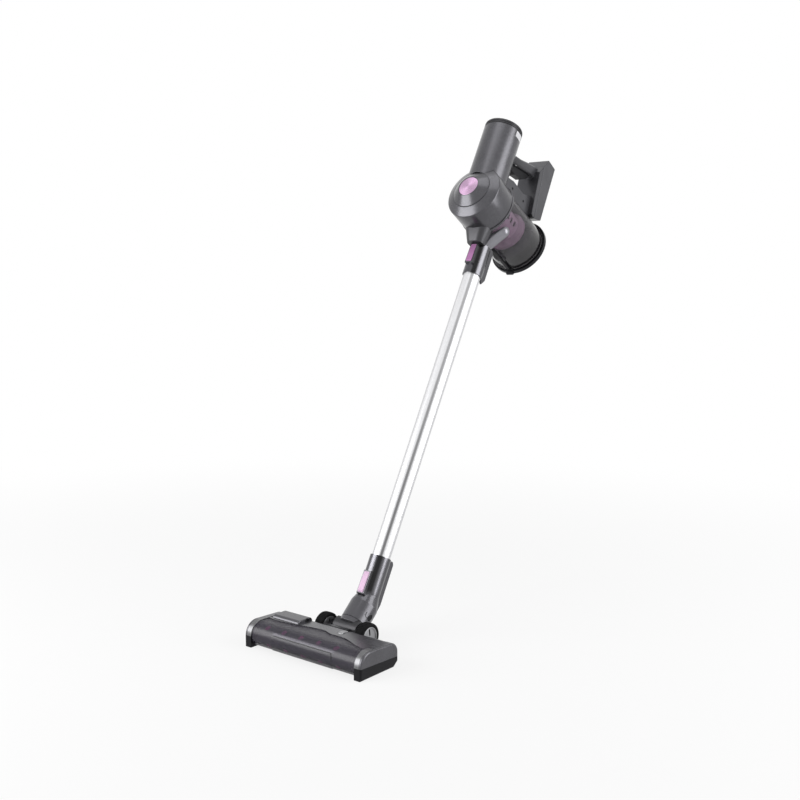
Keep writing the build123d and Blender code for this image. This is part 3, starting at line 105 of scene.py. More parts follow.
# Bristles stand in a spiral over the round foot of their tuft, and lean outwards with their distance.
GOLDEN_ANGLE, LEAN_PER_MM, BRISTLE_MIDDLE = 2.39996, 0.08, 1.1
BRISTLE = {"segments": 5, "radius1": 0.45, "radius2": 0.34, "depth": 3.6}

# Outlines of turned pieces: radius and height along the axis and, where a corner is rounded, its radius.
DRUM_SHELL = [(55, 17.1, 0.4), (55, 20.6, 0.5), (53.1, 21.0), (53.1, 22.3), (54, 22.7, 0.3), (54, 71.6, 1.6),
              (38.3, 80.3, 0.5), (36.2, 80.3, 0.3), (36.2, 78.2, 0.3), (51.8, 70.4, 1), (51.8, 19.6, 0.4),
              (30.1, 19.6, 0.3), (30.1, 17.1, 0.3)]
FILTER_CAP = [(37.3, 80.9, 0.5), (20.6, 92.0, 0.5), (19.6, 92.1, 0.25), (19.6, 90.3), (0, 90.3), (0, 88.5),
              (19.4, 88.5), (33.3, 78.4, 0.5), (33.3, 71.5), (35.3, 71.5), (35.3, 80.5, 0.3)]
CAP_DISC = [(0, 90.5), (19.2, 90.5), (19.2, 91.75, 0.5), (17.6, 91.95, 0.4), (0, 91.5)]
TYRE = [(17.05, 36.6, 0.3), (20.8, 35.8, 0.6), (22.7, 37.4, 0.5), (TYRE_RADIUS, 39.4, 0.4),
        (TYRE_RADIUS, 49.3, 0.4), (22.7, 51.3, 0.5), (20.8, 52.9, 0.6), (17.05, 52.1, 0.3)]
PILE = [(15.5, -99), (17.0, -98, 0.6), (17.0, 98, 0.6), (15.5, 99)]
# Outline of one of the filter cap's lugs, in the drum's x and y.
CAP_LUG = [(34.6, -3), (36.0, -3), (36.0, 3), (34.6, 3)]


def placed(origin, x_axis, z_axis):
    """Matrix of a local frame given in millimetres, with z along z_axis."""
    z = Vector(z_axis).normalized()
    x = (Vector(x_axis) - z * Vector(x_axis).dot(z)).normalized()
    turn = Matrix((x, z.cross(x), z)).transposed().to_4x4()
    return Matrix.Scale(MM, 4) @ Matrix.Translation(Vector(origin)) @ turn


def point(place, x, y, z):
    """A local point in world millimetres."""
    return place @ Vector((x, y, z)) / MM


FLOOR = Matrix.Scale(MM, 4)
WAND = placed((0, WAND_FOOT, 0), (1, 0, 0), (0, math.sin(LEAN), math.cos(LEAN)))
WAND_Y = (WAND.to_3x3() @ Vector((0, 1, 0))).normalized()
WAND_Z = (WAND.to_3x3() @ Vector((0, 0, 1))).normalized()
DRUM_AXIS = -WAND_Y * math.cos(DRUM_TILT) + WAND_Z * math.sin(DRUM_TILT)
DRUM = placed(point(WAND, 0, 0, DRUM_HEIGHT), (1, 0, 0), DRUM_AXIS)
NECK_AXIS = Vector((0, math.sin(NECK_LEAN), math.cos(NECK_LEAN)))
BEND = point(WAND, 0, 0, BEND_HEIGHT)
NECK = placed(BEND - NECK_AXIS * ((BEND.z - AXLE[1]) / NECK_AXIS.z), (1, 0, 0), NECK_AXIS)
HUB = placed((0, *AXLE), (0, 1, 0), (1, 0, 0))


# ---------------------------------------------------------------- mesh tools


def outline(points, steps=4):
    """A flat face in local x, y.  A point's third value rounds its corner."""
    bm = bmesh.new()
    corners = [bm.verts.new((p[0], p[1], 0)) for p in points]
    bm.faces.new(corners)
    radii = sorted({p[2] for p in points if len(p) > 2})
    chosen = {r: [v for v, p in zip(corners, points) if len(p) > 2 and p[2] == r] for r in radii}
    for radius, verts in chosen.items():
        bmesh.ops.bevel(bm, geom=verts, offset=radius, offset_type="OFFSET", segments=steps, profile=0.5,
                        affect="VERTICES", material=-1)
    return bm


def prism(points, low, depth, soft):
    """Extrude an outline along local z, from low to low + depth, with softened rims."""
    bm = outline(points)
    base = bm.faces[:]
    made = bmesh.ops.extrude_face_region(bm, geom=base, use_keep_orig=True)
    moved = [g for g in made["geom"] if isinstance(g, bmesh.types.BMVert)]
    bmesh.ops.translate(bm, verts=moved, vec=(0, 0, depth))
    bmesh.ops.recalc_face_normals(bm, faces=bm.faces)
    bmesh.ops.translate(bm, verts=bm.verts, vec=(0, 0, low))
    rims = [e for e in bm.edges if abs(e.verts[0].co.z - e.verts[1].co.z) < 1e-5 and len(e.link_faces) == 2
            and abs(e.link_faces[0].normal.z - e.link_faces[1].normal.z) > 0.5]
    bmesh.ops.bevel(bm, geom=rims, offset=soft, offset_type="OFFSET", segments=3, profile=0.5,
                    affect="EDGES", material=-1, clamp_overlap=True)
    return bm


def lathe(points, sides=96, steps=4):
    """Spin a (radius, height) outline about local z; it closes on itself or on the axis."""
    bm = outline(points, steps)
    bmesh.ops.transform(bm, matrix=Matrix.Rotation(math.pi / 2, 4, "X"), verts=bm.verts)
    bmesh.ops.delete(bm, geom=bm.faces[:], context="FACES_ONLY")
    axial = [e for e in bm.edges if all(abs(v.co.x) < 1e-6 for v in e.verts)]
    bmesh.ops.delete(bm, geom=axial, context="EDGES")
    bmesh.ops.spin(bm, geom=bm.verts[:] + bm.edges[:], cent=(0, 0, 0), axis=(0, 0, 1), dvec=(0, 0, 0),
                   angle=2 * math.pi, steps=sides, use_merge=True, use_normal_flip=False, use_duplicate=False)
    bmesh.ops.remove_doubles(bm, verts=bm.verts, dist=1e-4)
    bmesh.ops.recalc_face_normals(bm, faces=bm.faces)
    return bm


def rings(sections):
    """Bridge a row of closed outlines and close its ends.  All have the same number of points."""
    bm = bmesh.new()
    loops = []
    for section in sections:
        verts = [bm.verts.new(p) for p in section]
        loops.append([bm.edges.new((verts[k - 1], verts[k])) for k in range(len(verts))])
    for first, second in zip(loops, loops[1:]):
        bmesh.ops.bridge_loops(bm, edges=first + second)
    bmesh.ops.holes_fill(bm, edges=bm.edges, sides=0)
    bmesh.ops.recalc_face_normals(bm, faces=bm.faces)
    return bm


def join(first, second):
    """Put the second bmesh into the first one."""
    mesh = bpy.data.meshes.new("part")
    second.to_mesh(mesh)
    second.free()
    first.from_mesh(mesh)
    bpy.data.meshes.remove(mesh)
    return first


def turned(bm, matrix):
    """Move a bmesh by a matrix."""
    bmesh.ops.transform(bm, matrix=matrix, verts=bm.verts)
    return bm


def piece(name, bm, place, finish, body, replaces, angle, bevel=0.0):
    """Turn a bmesh into a placed, finished object that rides on a body.

    Edges sharper than the angle stay sharp, or are rounded by the bevel, in millimetres.
    """
    turned(bm, place)
    mesh = bpy.data.meshes.new(name)
    bm.to_mesh(mesh)
    bm.free()
    obj = bpy.data.objects.new(name, mesh)
    bpy.context.scene.collection.objects.link(obj)
    mesh.materials.append(finish)
    for face in mesh.polygons:
        face.use_smooth = True
    if bevel:
        edge = obj.modifiers.new("edges", "BEVEL")
        edge.width = bevel * MM
        edge.segments = 3
        edge.limit_method = "ANGLE"
        edge.angle_limit = math.radians(angle)
        edge.use_clamp_overlap = True
        edge.harden_normals = False
    mesh.set_sharp_from_angle(angle=math.radians(angle))
    if bevel:
        normals = obj.modifiers.new("shading", "WEIGHTED_NORMAL")
        normals.keep_sharp = True
    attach(obj, body)
    if replaces:
        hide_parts(*replaces)


def from_cad(node):
    """A merged copy of a CAD node's mesh, in millimetres."""
    bm = bmesh.new()
    bm.from_mesh(NODES[node].data)
    turned(bm, NODES[node].matrix_world)
    turned(bm, Matrix.Scale(1 / MM, 4))
    bmesh.ops.remove_doubles(bm, verts=bm.verts, dist=0.01)
    bmesh.ops.dissolve_limit(bm, angle_limit=math.radians(1.0), use_dissolve_boundaries=False,
                             verts=bm.verts, edges=bm.edges)
    return bm


# ---------------------------------------------------------------- node tools


class Channel:
    """A node socket whose maths is written as Python expressions."""

    def __init__(self, graph, socket):
        self.graph = graph
        self.socket = socket

    def maths(self, operation, first, second=None):
        sockets = {0: first} if second is None else {0: first, 1: second}
        return self.graph.node("ShaderNodeMath", {"operation": operation}, sockets)

    def __add__(self, other):
        return self.maths("ADD", self, other)

    __radd__ = __add__

    def __sub__(self, other):
        return self.maths("SUBTRACT", self, other)

    def __rsub__(self, other):
        return self.maths("SUBTRACT", other, self)

    def __mul__(self, other):
        return self.maths("MULTIPLY", self, other)

    __rmul__ = __mul__

    def __pow__(self, other):
        return self.maths("POWER", self, other)

    def __abs__(self):
        return self.maths("ABSOLUTE", self)

    def larger(self, other):
        return self.maths("MAXIMUM", self, other)

    def wave(self):
        return self.maths("SINE", self)

    def fraction(self):
        return self.maths("FRACT", self)

    def ramp(self, low, high, to_low=0.0, to_high=1.0):
        """Smoothly carry a value from low..high to to_low..to_high."""
        return self.graph.node("ShaderNodeMapRange", {"interpolation_type": "SMOOTHSTEP"},
                               {"Value": self, "From Min": low, "From Max": high,
                                "To Min": to_low, "To Max": to_high})


class Finish:
    """A node material being built on one Principled shader."""

    def __init__(self, name, **constants):
        self.material = bpy.data.materials.new(name)
        self.material.use_nodes = True
        self.tree = self.material.node_tree
        self.shader = self.tree.nodes["Principled BSDF"]
        for key, value in constants.items():
            self.shader.inputs[key.replace("_", " ")].default_value = value

    def node(self, kind, settings=None, sockets=None, out=0):
        """Add a node: its settings first, then the values or links of its sockets."""
        made = self.tree.nodes.new(kind)
        for key, value in (settings or {}).items():
            setattr(made, key, value)
        for key, value in (sockets or {}).items():
            if isinstance(value, Channel):
                self.tree.links.new(value.socket, made.inputs[key])
            else:
                made.inputs[key].default_value = value
        return Channel(self, made.outputs[out])

    def feed(self, **links):
        """Link channels to the shader's sockets, named with underscores for spaces."""
        for key, value in links.items():
            self.tree.links.new(value.socket, self.shader.inputs[key.replace("_", " ")])

    def local(self, place=FLOOR):
        """Object coordinates in a place's own millimetres."""
        world = self.node("ShaderNodeTexCoord", out="Object")
        return self.node("ShaderNodeMapping", {"vector_type": "TEXTURE"},
                         {"Vector": world, "Location": place.to_translation(),
                          "Rotation": place.to_euler(), "Scale": (MM, MM, MM)})

    def axes(self, vector):
        """The three parts of a vector."""
        split = self.node("ShaderNodeSeparateXYZ", {}, {"Vector": vector})
        outs = split.socket.node.outputs
        return [Channel(self, outs[k]) for k in range(3)]

    def turn(self, x, y):
        """Angle about z, from x towards y."""
        return self.node("ShaderNodeMath", {"operation": "ARCTAN2"}, {0: y, 1: x})

    def noise(self, vector, scale, detail=2.0, rough=0.5):
        return self.node("ShaderNodeTexNoise", {"noise_dimensions": "3D"},
                         {"Vector": vector, "Scale": scale, "Detail": detail, "Roughness": rough})

    def stretched(self, vector, x, y, z):
        return self.node("ShaderNodeVectorMath", {"operation": "MULTIPLY"}, {0: vector, 1: (x, y, z)})

    def frame_line(self, x, y, box, corner, width):
        """1 along the rim of a rounded box (left, right, low, high), fading to 0 beside it."""
        left, right, low, high = box
        out_x = (abs(x - (left + right) / 2) - ((right - left) / 2 - corner)).larger(0.0)
        out_y = (abs(y - (low + high) / 2) - ((high - low) / 2 - corner)).larger(0.0)
        off = (out_x * out_x + out_y * out_y) ** 0.5 - corner
        return abs(off).ramp(width * 0.4, width, 1.0, 0.0)

    def blend(self, factor, first, second):
        """Mix two colours."""
        made = self.tree.nodes.new("ShaderNodeMix")
        made.data_type = "RGBA"
        made.clamp_factor = True
        for key, value in ((0, factor), (6, first), (7, second)):
            if isinstance(value, Channel):
                self.tree.links.new(value.socket, made.inputs[key])
            elif key == 0:
                made.inputs[key].default_value = value
            else:
                made.inputs[key].default_value = (*value[:3], 1)
        return Channel(self, made.outputs[2])

    def bump(self, height, distance, strength):
        """A normal from a height, with its distance in millimetres."""
        return self.node("ShaderNodeBump", {},
                         {"Height": height, "Distance": distance * MM, "Strength": strength})


def shade(colour, by):
    """A colour made lighter or darker."""
    return tuple(min(1.0, c * by) for c in colour[:3])


FINISHES = {}


def kept(build):
    """Build each finish once."""
    def get(*args):
        key = (build.__name__, *[tuple(a) if isinstance(a, (list, tuple)) else str(a) for a in args])
        if key not in FINISHES:
            FINISHES[key] = build(*args)
        return FINISHES[key]
    return get


def sprayed(name, colour):
    """Begin a metallic-grey sprayed plastic; returns it with its flake, its clouds and its tone."""
    f = Finish(name, Coat_Weight=0.12, Coat_Roughness=0.2)
    at = f.local()
    flake = f.noise(at, 2.6, 1.0)
    cloud = f.noise(at, 0.02, 3.0)
    tone = f.blend(cloud.ramp(0.35, 0.65), shade(colour, 0.92), shade(colour, 1.06))
    return f, flake, cloud, f.blend(flake.ramp(0.58, 0.78) * 0.35, tone, shade(colour, 1.9))


@kept
def sprayed_grey(name, colour, roughness=0.24):
    """Metallic-grey sprayed plastic: fine flake, faint cloudiness and a light orange peel."""
    f, flake, cloud, tone = sprayed(name, colour)
    peel = f.noise(f.local(), 0.55, 2.0)
    f.feed(Base_Color=tone, Roughness=roughness + (cloud - 0.5) * 0.12 + flake * 0.05,
           Metallic=flake.ramp(0.4, 0.7, 0.595, 1.105), Normal=f.bump(peel + flake * 0.3, 0.02, 0.5))
    return f.material


def plain_sprayed(f, flake, cloud, tone):
    """End a sprayed finish that has no orange peel."""
    f.feed(Base_Color=tone, Roughness=0.24 + (cloud - 0.5) * 0.1, Metallic=flake.ramp(0.4, 0.7, 0.6, 1.0),
           Normal=f.bump(flake, 0.01, 0.4))
    return f.material


def painted_collar_reflections(f, tone, colour, low, high, dark, pales):
    """Paint a dark lengthwise reflection and paler ones, as painted highlights, on a collar, from low to high
    along the wand.

    The bands are given by their azimuth about the wand.
    """
    x, y, z = f.axes(f.local(WAND))
    turn = f.turn(x, y)
    along = z.ramp(low, low + 10) * z.ramp(high, high + 4, 1.0, 0.0)
    # The pale bands are painted highlights and the dark band is a painted dark reflection.
    for pale in pales:
        tone = f.blend(abs(turn - pale).ramp(0.06, 0.34, 0.8, 0.0) * along, tone, shade(colour, 2.1))
    return f.blend(abs(turn - dark).ramp(0.12, 0.34, 0.95, 0.0) * along, tone, shade(colour, 0.1))


@kept
def collar_grey(name, colour):
    """The body's grey on the upper collar, with two lengthwise painted reflections, a pale one and a dark
    one.
    """
    f, flake, cloud, tone = sprayed(name, colour)
    tone = painted_collar_reflections(f, tone, colour, low=682, high=756, dark=-0.95, pales=(-0.4,))
    return plain_sprayed(f, flake, cloud, tone)


@kept
def neck_grey(name, colour):
    """The body's grey on the neck: painted reflections as lengthwise bands, and painted shade as a dark
    outline round each swivel keeper's slot.
    """
    f, flake, cloud, tone = sprayed(name, colour)
    tone = painted_collar_reflections(f, tone, colour, low=78, high=150, dark=-0.96, pales=(-1.55, -0.35))
    x, y, z = f.axes(f.local(NECK))
    # Painted shadow: a near-black line round each swivel keeper's slot.
    line = f.frame_line(y, z, KEEPER_SLOT, 3.0, 1.0)
    line = line * y.ramp(8.0, 9.5, 1.0, 0.0) * z.ramp(31.5, 33.0, 1.0, 0.0) * abs(x).ramp(14.0, 16.0)
    return plain_sprayed(f, flake, cloud, f.blend(line, tone, (0.006, 0.006, 0.007)))


@kept
def handle_satin(name, colour):
    """Satin grey of the handle; painted shade turns the grip bar nearly black towards its underside."""
    f = Finish(name, Specular_IOR_Level=0.3, Coat_Weight=0.1, Coat_Roughness=0.25)
    at = f.local(WAND)
    _, y, z = f.axes(at)
    # Painted shade: the grip bar darkens to nearly black towards its underside.
    bar = z.ramp(925, 972, 1.0, 0.0) * z.ramp(905, 925) * y.ramp(-12, 0) * y.ramp(70, 80, 1.0, 0.0)
    fine = f.noise(at, 3.0, 2.0)
    cloud = f.noise(at, 0.03, 3.0)
    tone = f.blend(cloud.ramp(0.3, 0.7), shade(colour, 0.92), shade(colour, 1.08))
    f.feed(Base_Color=f.blend(bar * 0.85, tone, shade(colour, 0.1)), Metallic=fine.ramp(0.3, 0.7, 0.5, 0.7),
           Roughness=0.34 + (cloud - 0.5) * 0.12, Normal=f.bump(fine, 0.015, 0.5))
    return f.material


@kept
def moulded(name, colour, roughness=0.45, grain=1.0):
    """Moulded plastic with a spark-eroded grain and slightly rubbed high spots."""
    f = Finish(name, Specular_IOR_Level=0.14)
    at = f.local()
    fine = f.noise(at, 3.2, 3.0, 0.6)
    cloud = f.noise(at, 0.045, 3.0)
    tone = f.blend(cloud.ramp(0.3, 0.7), shade(colour, 0.88), shade(colour, 1.12))
    f.feed(Base_Color=tone, Roughness=roughness + (fine - 0.5) * 0.22 + (cloud - 0.5) * 0.1,
           Normal=f.bump(fine, 0.035 * grain, 0.7))
    return f.material


@kept
def rubber(name, colour, roughness=0.72):
    """Soft rubber: matt, with a dusty bloom in patches."""
    f = Finish(name, Specular_IOR_Level=0.08)
    at = f.local()
    fine = f.noise(at, 1.9, 4.0, 0.65)
    dust = f.noise(at, 0.08, 4.0, 0.6)
    tone = f.blend(dust.ramp(0.45, 0.75), colour, shade(colour, 1.9))
    f.feed(Base_Color=tone, Roughness=roughness + (dust - 0.5) * 0.2, Normal=f.bump(fine, 0.05, 0.6))
    return f.material


@kept
def clear_plastic(name, colour, alpha, roughness=0.08):
    """Smoked clear plastic, with flow marks and fine scuffs."""
    f = Finish(name, Coat_Weight=0.25, Coat_Roughness=0.04, Specular_IOR_Level=0.5)
    at = f.local()
    scuff = f.noise(at, 0.12, 2.0)
    cloud = f.noise(at, 0.02, 2.0)
    f.feed(Base_Color=f.blend(cloud.ramp(0.3, 0.7), shade(colour, 0.9), shade(colour, 1.12)),
           Roughness=scuff.ramp(0.3, 0.8, roughness, roughness + 0.06),
           Alpha=cloud.ramp(0.3, 0.7, alpha - 0.03, alpha + 0.04),
           Normal=f.bump(cloud, 0.05, 0.2))
    return f.material


@kept
def bare_metal(name, colour, roughness=0.28, drawn=1.0):
    """Plain machined metal with faint tool lines."""
    f = Finish(name)
    at = f.local()
    lines = f.noise(f.stretched(at, 4.0 * drawn, 0.3, 0.3), 1.0, 3.0)
    f.feed(Base_Color=f.blend(lines.ramp(0.35, 0.65), shade(colour, 0.85), colour),
           Metallic=lines.ramp(0.0, 1.0, 0.95, 1.0),
           Roughness=lines.ramp(0.3, 0.7, roughness, roughness + 0.15),
           Normal=f.bump(lines, 0.01, 0.5))
    return f.material


@kept
def wand_metal(name, colour):
    """Satin anodised tube: fine draw lines, a painted dark reflection as one lengthwise stripe and painted
    pale reflections as four paler ones round the rest.
    """
    f = Finish(name)
    at = f.local(WAND)
    x, y, z = f.axes(at)
    turn = f.turn(x, y)
    drawn = f.node("ShaderNodeCombineXYZ", {}, {"X": turn * 30, "Y": z * 0.004, "Z": 0.0})
    draw = f.noise(drawn, 1.6, 4.0, 0.6)
    # Painted dark reflection along the tube, weaker higher up, and painted pale reflections round the rest of
    # it.
    dark = abs(turn - DARK_REFLECTION).ramp(0.06, 0.26, 1.0, 0.0) * z.ramp(150, 640, 0.95, 0.6)
    pale = 0.0
    for step in (-1, 1, 2, 3):
        pale = abs(turn - (DARK_REFLECTION + step * math.tau / 5)).ramp(0.1, 0.42, 1.0, 0.0) + pale
    tone = f.blend(draw.ramp(0.3, 0.7), shade(colour, 0.96), shade(colour, 1.03))
    tone = f.blend(pale * 0.5, tone, shade(colour, 0.5))
    tone = f.blend(dark, tone, shade(colour, 0.2))
    f.feed(Base_Color=tone, Metallic=draw.ramp(0.0, 1.0, 0.5, 0.7), Roughness=draw.ramp(0.3, 0.7, 0.26, 0.36),
           Normal=f.bump(draw, 0.012, 0.6))
    return f.material


@kept
def window_plastic(name, colour, alpha):
    """Smoked window over the brush: painted shade darkens it towards its foot, a painted highlight lies as a
    pale strip along the top of its raised band, and a painted shadow draws the dark line round that band.
    """
    f = Finish(name, Coat_Weight=0.2, Coat_Roughness=0.25, Specular_IOR_Level=0.5)
    at = f.local()
    x, _, z = f.axes(at)
    # Painted shadow: a dark line round the raised band.
    line = f.frame_line(x, z, BAND, BAND_CORNER, 1.0) * z.ramp(15.0, 20.0)
    # Painted highlight: a pale strip along the band's top edge.
    painted_sheen = z.ramp(29.4, 30.4) * z.ramp(31.5, 34.5, 1.0, 0.0) * abs(x).ramp(62, 70, 1.0, 0.0)
    # Painted shade: the window darkens towards its foot, standing for the shade under the head.
    foot = z.ramp(7.0, 17.0, 1.0, 0.0)
    scuff = f.noise(f.stretched(at, 0.03, 0.25, 0.25), 1.0, 2.0)
    tone = f.blend(painted_sheen, shade(colour, 0.9), shade(colour, 1.8))
    tone = f.blend(foot, tone, shade(colour, 0.35))
    solid = foot * 0.06 + z.ramp(7.6, 9.8, 0.46, 0.0) + painted_sheen * 0.2
    solid = solid + scuff.ramp(0.3, 0.7, alpha - 0.03, alpha + 0.03)
    f.feed(Base_Color=f.blend(line, tone, shade(colour, 0.1)), Roughness=scuff.ramp(0.3, 0.7, 0.26, 0.34),
           Alpha=solid.larger(line * 0.95))
    return f.material


@kept
def smoked_shell(name, colour, alpha):
    """Smoked clear plastic of the cup, with painted shade making it darker and more solid towards the lid."""
    f = Finish(name, Coat_Weight=0.25, Coat_Roughness=0.04, Specular_IOR_Level=0.5)
    at = f.local(DRUM)
    _, _, z = f.axes(at)
    # Painted shade: the cup turns darker and more solid towards the lid, standing for its dark inside.
    painted_deep_shade = z.ramp(-86, -48, 1.0, 0.0)
    flow = f.noise(f.stretched(at, 0.05, 0.05, 0.01), 1.0, 2.0)
    f.feed(Base_Color=f.blend(painted_deep_shade, shade(colour, 1.1), shade(colour, 0.2)),
           Roughness=flow.ramp(0.3, 0.8, 0.08, 0.14),
           Alpha=painted_deep_shade * (0.86 - alpha) + flow.ramp(0.3, 0.7, alpha - 0.03, alpha + 0.03))
    return f.material


@kept
def slotted_hub(name, colour):
    """Satin grey hub with painted shade standing for three dark slots in its face."""
    f = Finish(name)
    at = f.local(HUB)
    x, y, _ = f.axes(at)
    reach = (x * x + y * y) ** 0.5
    sector = f.turn(x, y) * (3 / math.tau) + 0.75
    aside = abs(sector.fraction() - 0.5) * (math.tau / 3) * reach
    # Painted shade: three near-black slots, not metallic.
    slot = aside.ramp(1.3, 1.8, 1.0, 0.0) * reach.ramp(3.0, 3.8) * reach.ramp(13.4, 14.2, 1.0, 0.0)
    grain = f.noise(at, 1.6, 2.0)
    tone = f.blend(grain, shade(colour, 0.94), shade(colour, 1.06))
    f.feed(Base_Color=f.blend(slot, tone, (0.008, 0.008, 0.009)),
           Metallic=slot.ramp(0.0, 1.0, 0.7, 0.0), Roughness=grain.ramp(0.0, 1.0, 0.3, 0.42))
    return f.material


@kept
def spun_metal(name, colour):
    """Anodised disc with fine turned rings and a painted fanned highlight standing for the sheen of spun
    metal.
    """
    f = Finish(name)
    x, y, _ = f.axes(f.local(DRUM))
    turn = f.turn(x, y)
    reach = (x * x + y * y) ** 0.5
    turned_rings = (reach * 9.0).wave()
    uneven = f.noise(f.node("ShaderNodeCombineXYZ", {}, {"X": reach * 2.2, "Y": 0.0, "Z": 0.0}), 1.0, 3.0)
    # Painted highlight: lighter wedges by angle round the disc.
    painted_fan_highlight = abs((turn + 0.5).wave()) ** 3
    tone = f.blend(painted_fan_highlight * 0.8 + uneven * 0.15, shade(colour, 0.82), shade(colour, 1.45))
    f.feed(Base_Color=tone, Metallic=uneven.ramp(0.0, 1.0, 0.8, 0.95),
           Roughness=uneven.ramp(0.3, 0.7, 0.24, 0.36),
           Normal=f.bump(turned_rings + uneven, 0.02, 0.7))
    return f.material


@kept
def pleated_paper(name, colour):
    """Filter paper: felted fibres and grey dust."""
    f = Finish(name, Specular_IOR_Level=0.2)
    at = f.local()
    fibre = f.noise(at, 1.4, 5.0, 0.7)
    dust = f.noise(at, 0.06, 3.0)
    f.feed(Base_Color=f.blend(dust.ramp(0.4, 0.7) * 0.5, colour, (0.5, 0.49, 0.46)),
           Roughness=fibre.ramp(0.0, 1.0, 0.85, 0.95), Normal=f.bump(fibre, 0.12, 0.8))
    return f.material


@kept
def bristles(name, colour):
    """Nylon bristle: slightly paler and duller towards some ends."""
    f = Finish(name, Specular_IOR_Level=0.4)
    at = f.local()
    lot = f.noise(at, 0.35, 2.0)
    f.feed(Base_Color=f.blend(lot.ramp(0.35, 0.65), shade(colour, 0.7), shade(colour, 1.25)),
           Roughness=lot.ramp(0.3, 0.7, 0.4, 0.6))
    return f.material


# ---------------------------------------------------------------- what a user may change


def tint(name, description, default):
    """A colour property."""
    return FloatVectorProperty(name=name, description=description, default=default, subtype="COLOR", size=3,
                               min=0.0, max=1.0)


def count(name, description, default, least, most):
    """A whole-number property."""
    return IntProperty(name=name, description=description, default=default, min=least, max=most)


def light_strength(name, description, default, unit="POWER"):
    """A lamp's strength, or the room's."""
    return FloatProperty(name=name, description=description, default=default, min=0, unit=unit)


class VacuumColours(bpy.types.PropertyGroup):
    body: tint("Body grey", "Sprayed grey of barrel, drum, neck and floor head", (0.083, 0.082, 0.090))
    handle: tint("Handle grey", "Moulded grey of the handle and the battery", (0.074, 0.074, 0.081))
    black: tint("Black", "Black plastic of the bumpers, the lid and the tray", (0.007, 0.007, 0.0085))
    soft: tint("Rubber", "Rubber of the tyres, the seals and the grips", (0.007, 0.007, 0.0075))
    smoke: tint("Smoke", "Smoked clear plastic of the dust cup", (0.075, 0.07, 0.08))
    window: tint("Window", "Smoked clear plastic over the brush", (0.052, 0.045, 0.066))
    cyclone: tint("Cyclone", "Clear purple of the cyclone inside the cup", (0.50, 0.29, 0.46))
    disc: tint("Disc", "Anodised disc on the drum", (0.56, 0.37, 0.54))
    button: tint("Upper button", "Release button of the inlet", (0.40, 0.18, 0.37))
    pale_button: tint("Lower button", "Release button of the floor head", (0.72, 0.50, 0.68))
    tube: tint("Tube", "Anodised tube of the wand", (0.74, 0.74, 0.755))
    trim: tint("Trim", "Satin grey of the bands on the end caps", (0.17, 0.17, 0.176))
    hub: tint("Hub", "Satin grey of the wheel hubs", (0.26, 0.26, 0.27))
    latch: tint("Latch", "Bright slide of the cover's catch", (0.34, 0.34, 0.35))
    bristle: tint("Bristle", "Tufts of the brush roller", (0.95, 0.04, 0.52))
    paper: tint("Paper", "Filter paper", (0.78, 0.77, 0.72))
    label: tint("Label", "Blank label on the barrel", (0.58, 0.58, 0.60))


class VacuumSizes(bpy.types.PropertyGroup):
    sides: count("Round sides", "Facets round the drum and its cap", 160, 32, 256)
    tread: count("Tread ribs", "Ribs round each tyre", 44, 8, 90)
    bristles: count("Bristles", "Bristles in each tuft of the roller", 30, 4, 60)


class VacuumStage(bpy.types.PropertyGroup):
    lens: FloatProperty(name="Lens", description="Focal length of the camera", default=46.354,
                        min=10, max=200, unit="CAMERA")
    stand: FloatVectorProperty(name="Camera place", description="Where the camera stands",
                               default=(1.0956083, -1.1623007, 0.5919064),
                               subtype="TRANSLATION", unit="LENGTH")
    aim: FloatVectorProperty(name="Camera turn", description="How the camera is turned",
                             default=(math.pi / 2 - 0.1128502, 0.0, 0.6752234),
                             subtype="EULER", unit="ROTATION")
    floor: tint("Floor", "Plain pale floor and backdrop", (0.80, 0.80, 0.80))
    key: light_strength("Right light", "Strength of the large soft light on the right", 24.0)
    fill: light_strength("Left light", "Strength of the soft light on the left", 28.0)
    top: light_strength("Top light", "Strength of the soft light overhead", 7.0)
    sky: light_strength("Room light", "Strength of the light from all round", 0.3, "NONE")


def colours():
    """The colours that are set in the scene."""
    return bpy.context.scene.vacuum_colours


# ---------------------------------------------------------------- finishes by name


def body_grey():
    return sprayed_grey("body grey", colours().body)


def handle_grey():
    return handle_satin("handle grey", colours().handle)


def black_plastic():
    return moulded("black plastic", colours().black, 0.42)


def soft_rubber():
    return rubber("soft rubber", colours().soft)


def smoked_cup():
    return smoked_shell("smoked cup", colours().smoke, 0.3)


def smoked_window():
    return window_plastic("smoked window", colours().window, 0.41)


def clear_purple():
    return clear_plastic("clear purple", colours().cyclone, 0.82, 0.18)


def cap_grey():
    return sprayed_grey("cap grey", shade(colours().body, 0.4), 0.42)


# Painted highlight: the body grey made lighter on the inlet pipe.
def pipe_grey():
    return sprayed_grey("pipe grey", shade(colours().body, 2.6), 0.3)


def bright_latch():
    return bare_metal("bright latch", colours().latch, 0.25, 0.5)


# Partly painted shade: the body grey darkened on the pivot drum, for the shaded hollow between the wheels.
def dark_grey():
    return sprayed_grey("dark grey", shade(colours().body, 0.35), 0.4)


def web_grey():
    return sprayed_grey("web grey", shade(colours().body, 0.6), 0.4)


def black_gloss():
    return moulded("black gloss", shade(colours().black, 1.4), 0.22, 0.3)


def bristle():
    return bristles("bristle", colours().bristle)


def satin_trim():
    return bare_metal("satin trim", colours().trim, 0.25, 0.5)


def steel():
    return bare_metal("steel", (0.55, 0.55, 0.56), 0.25)


def brass():
    return bare_metal("brass", (0.65, 0.48, 0.22), 0.3)


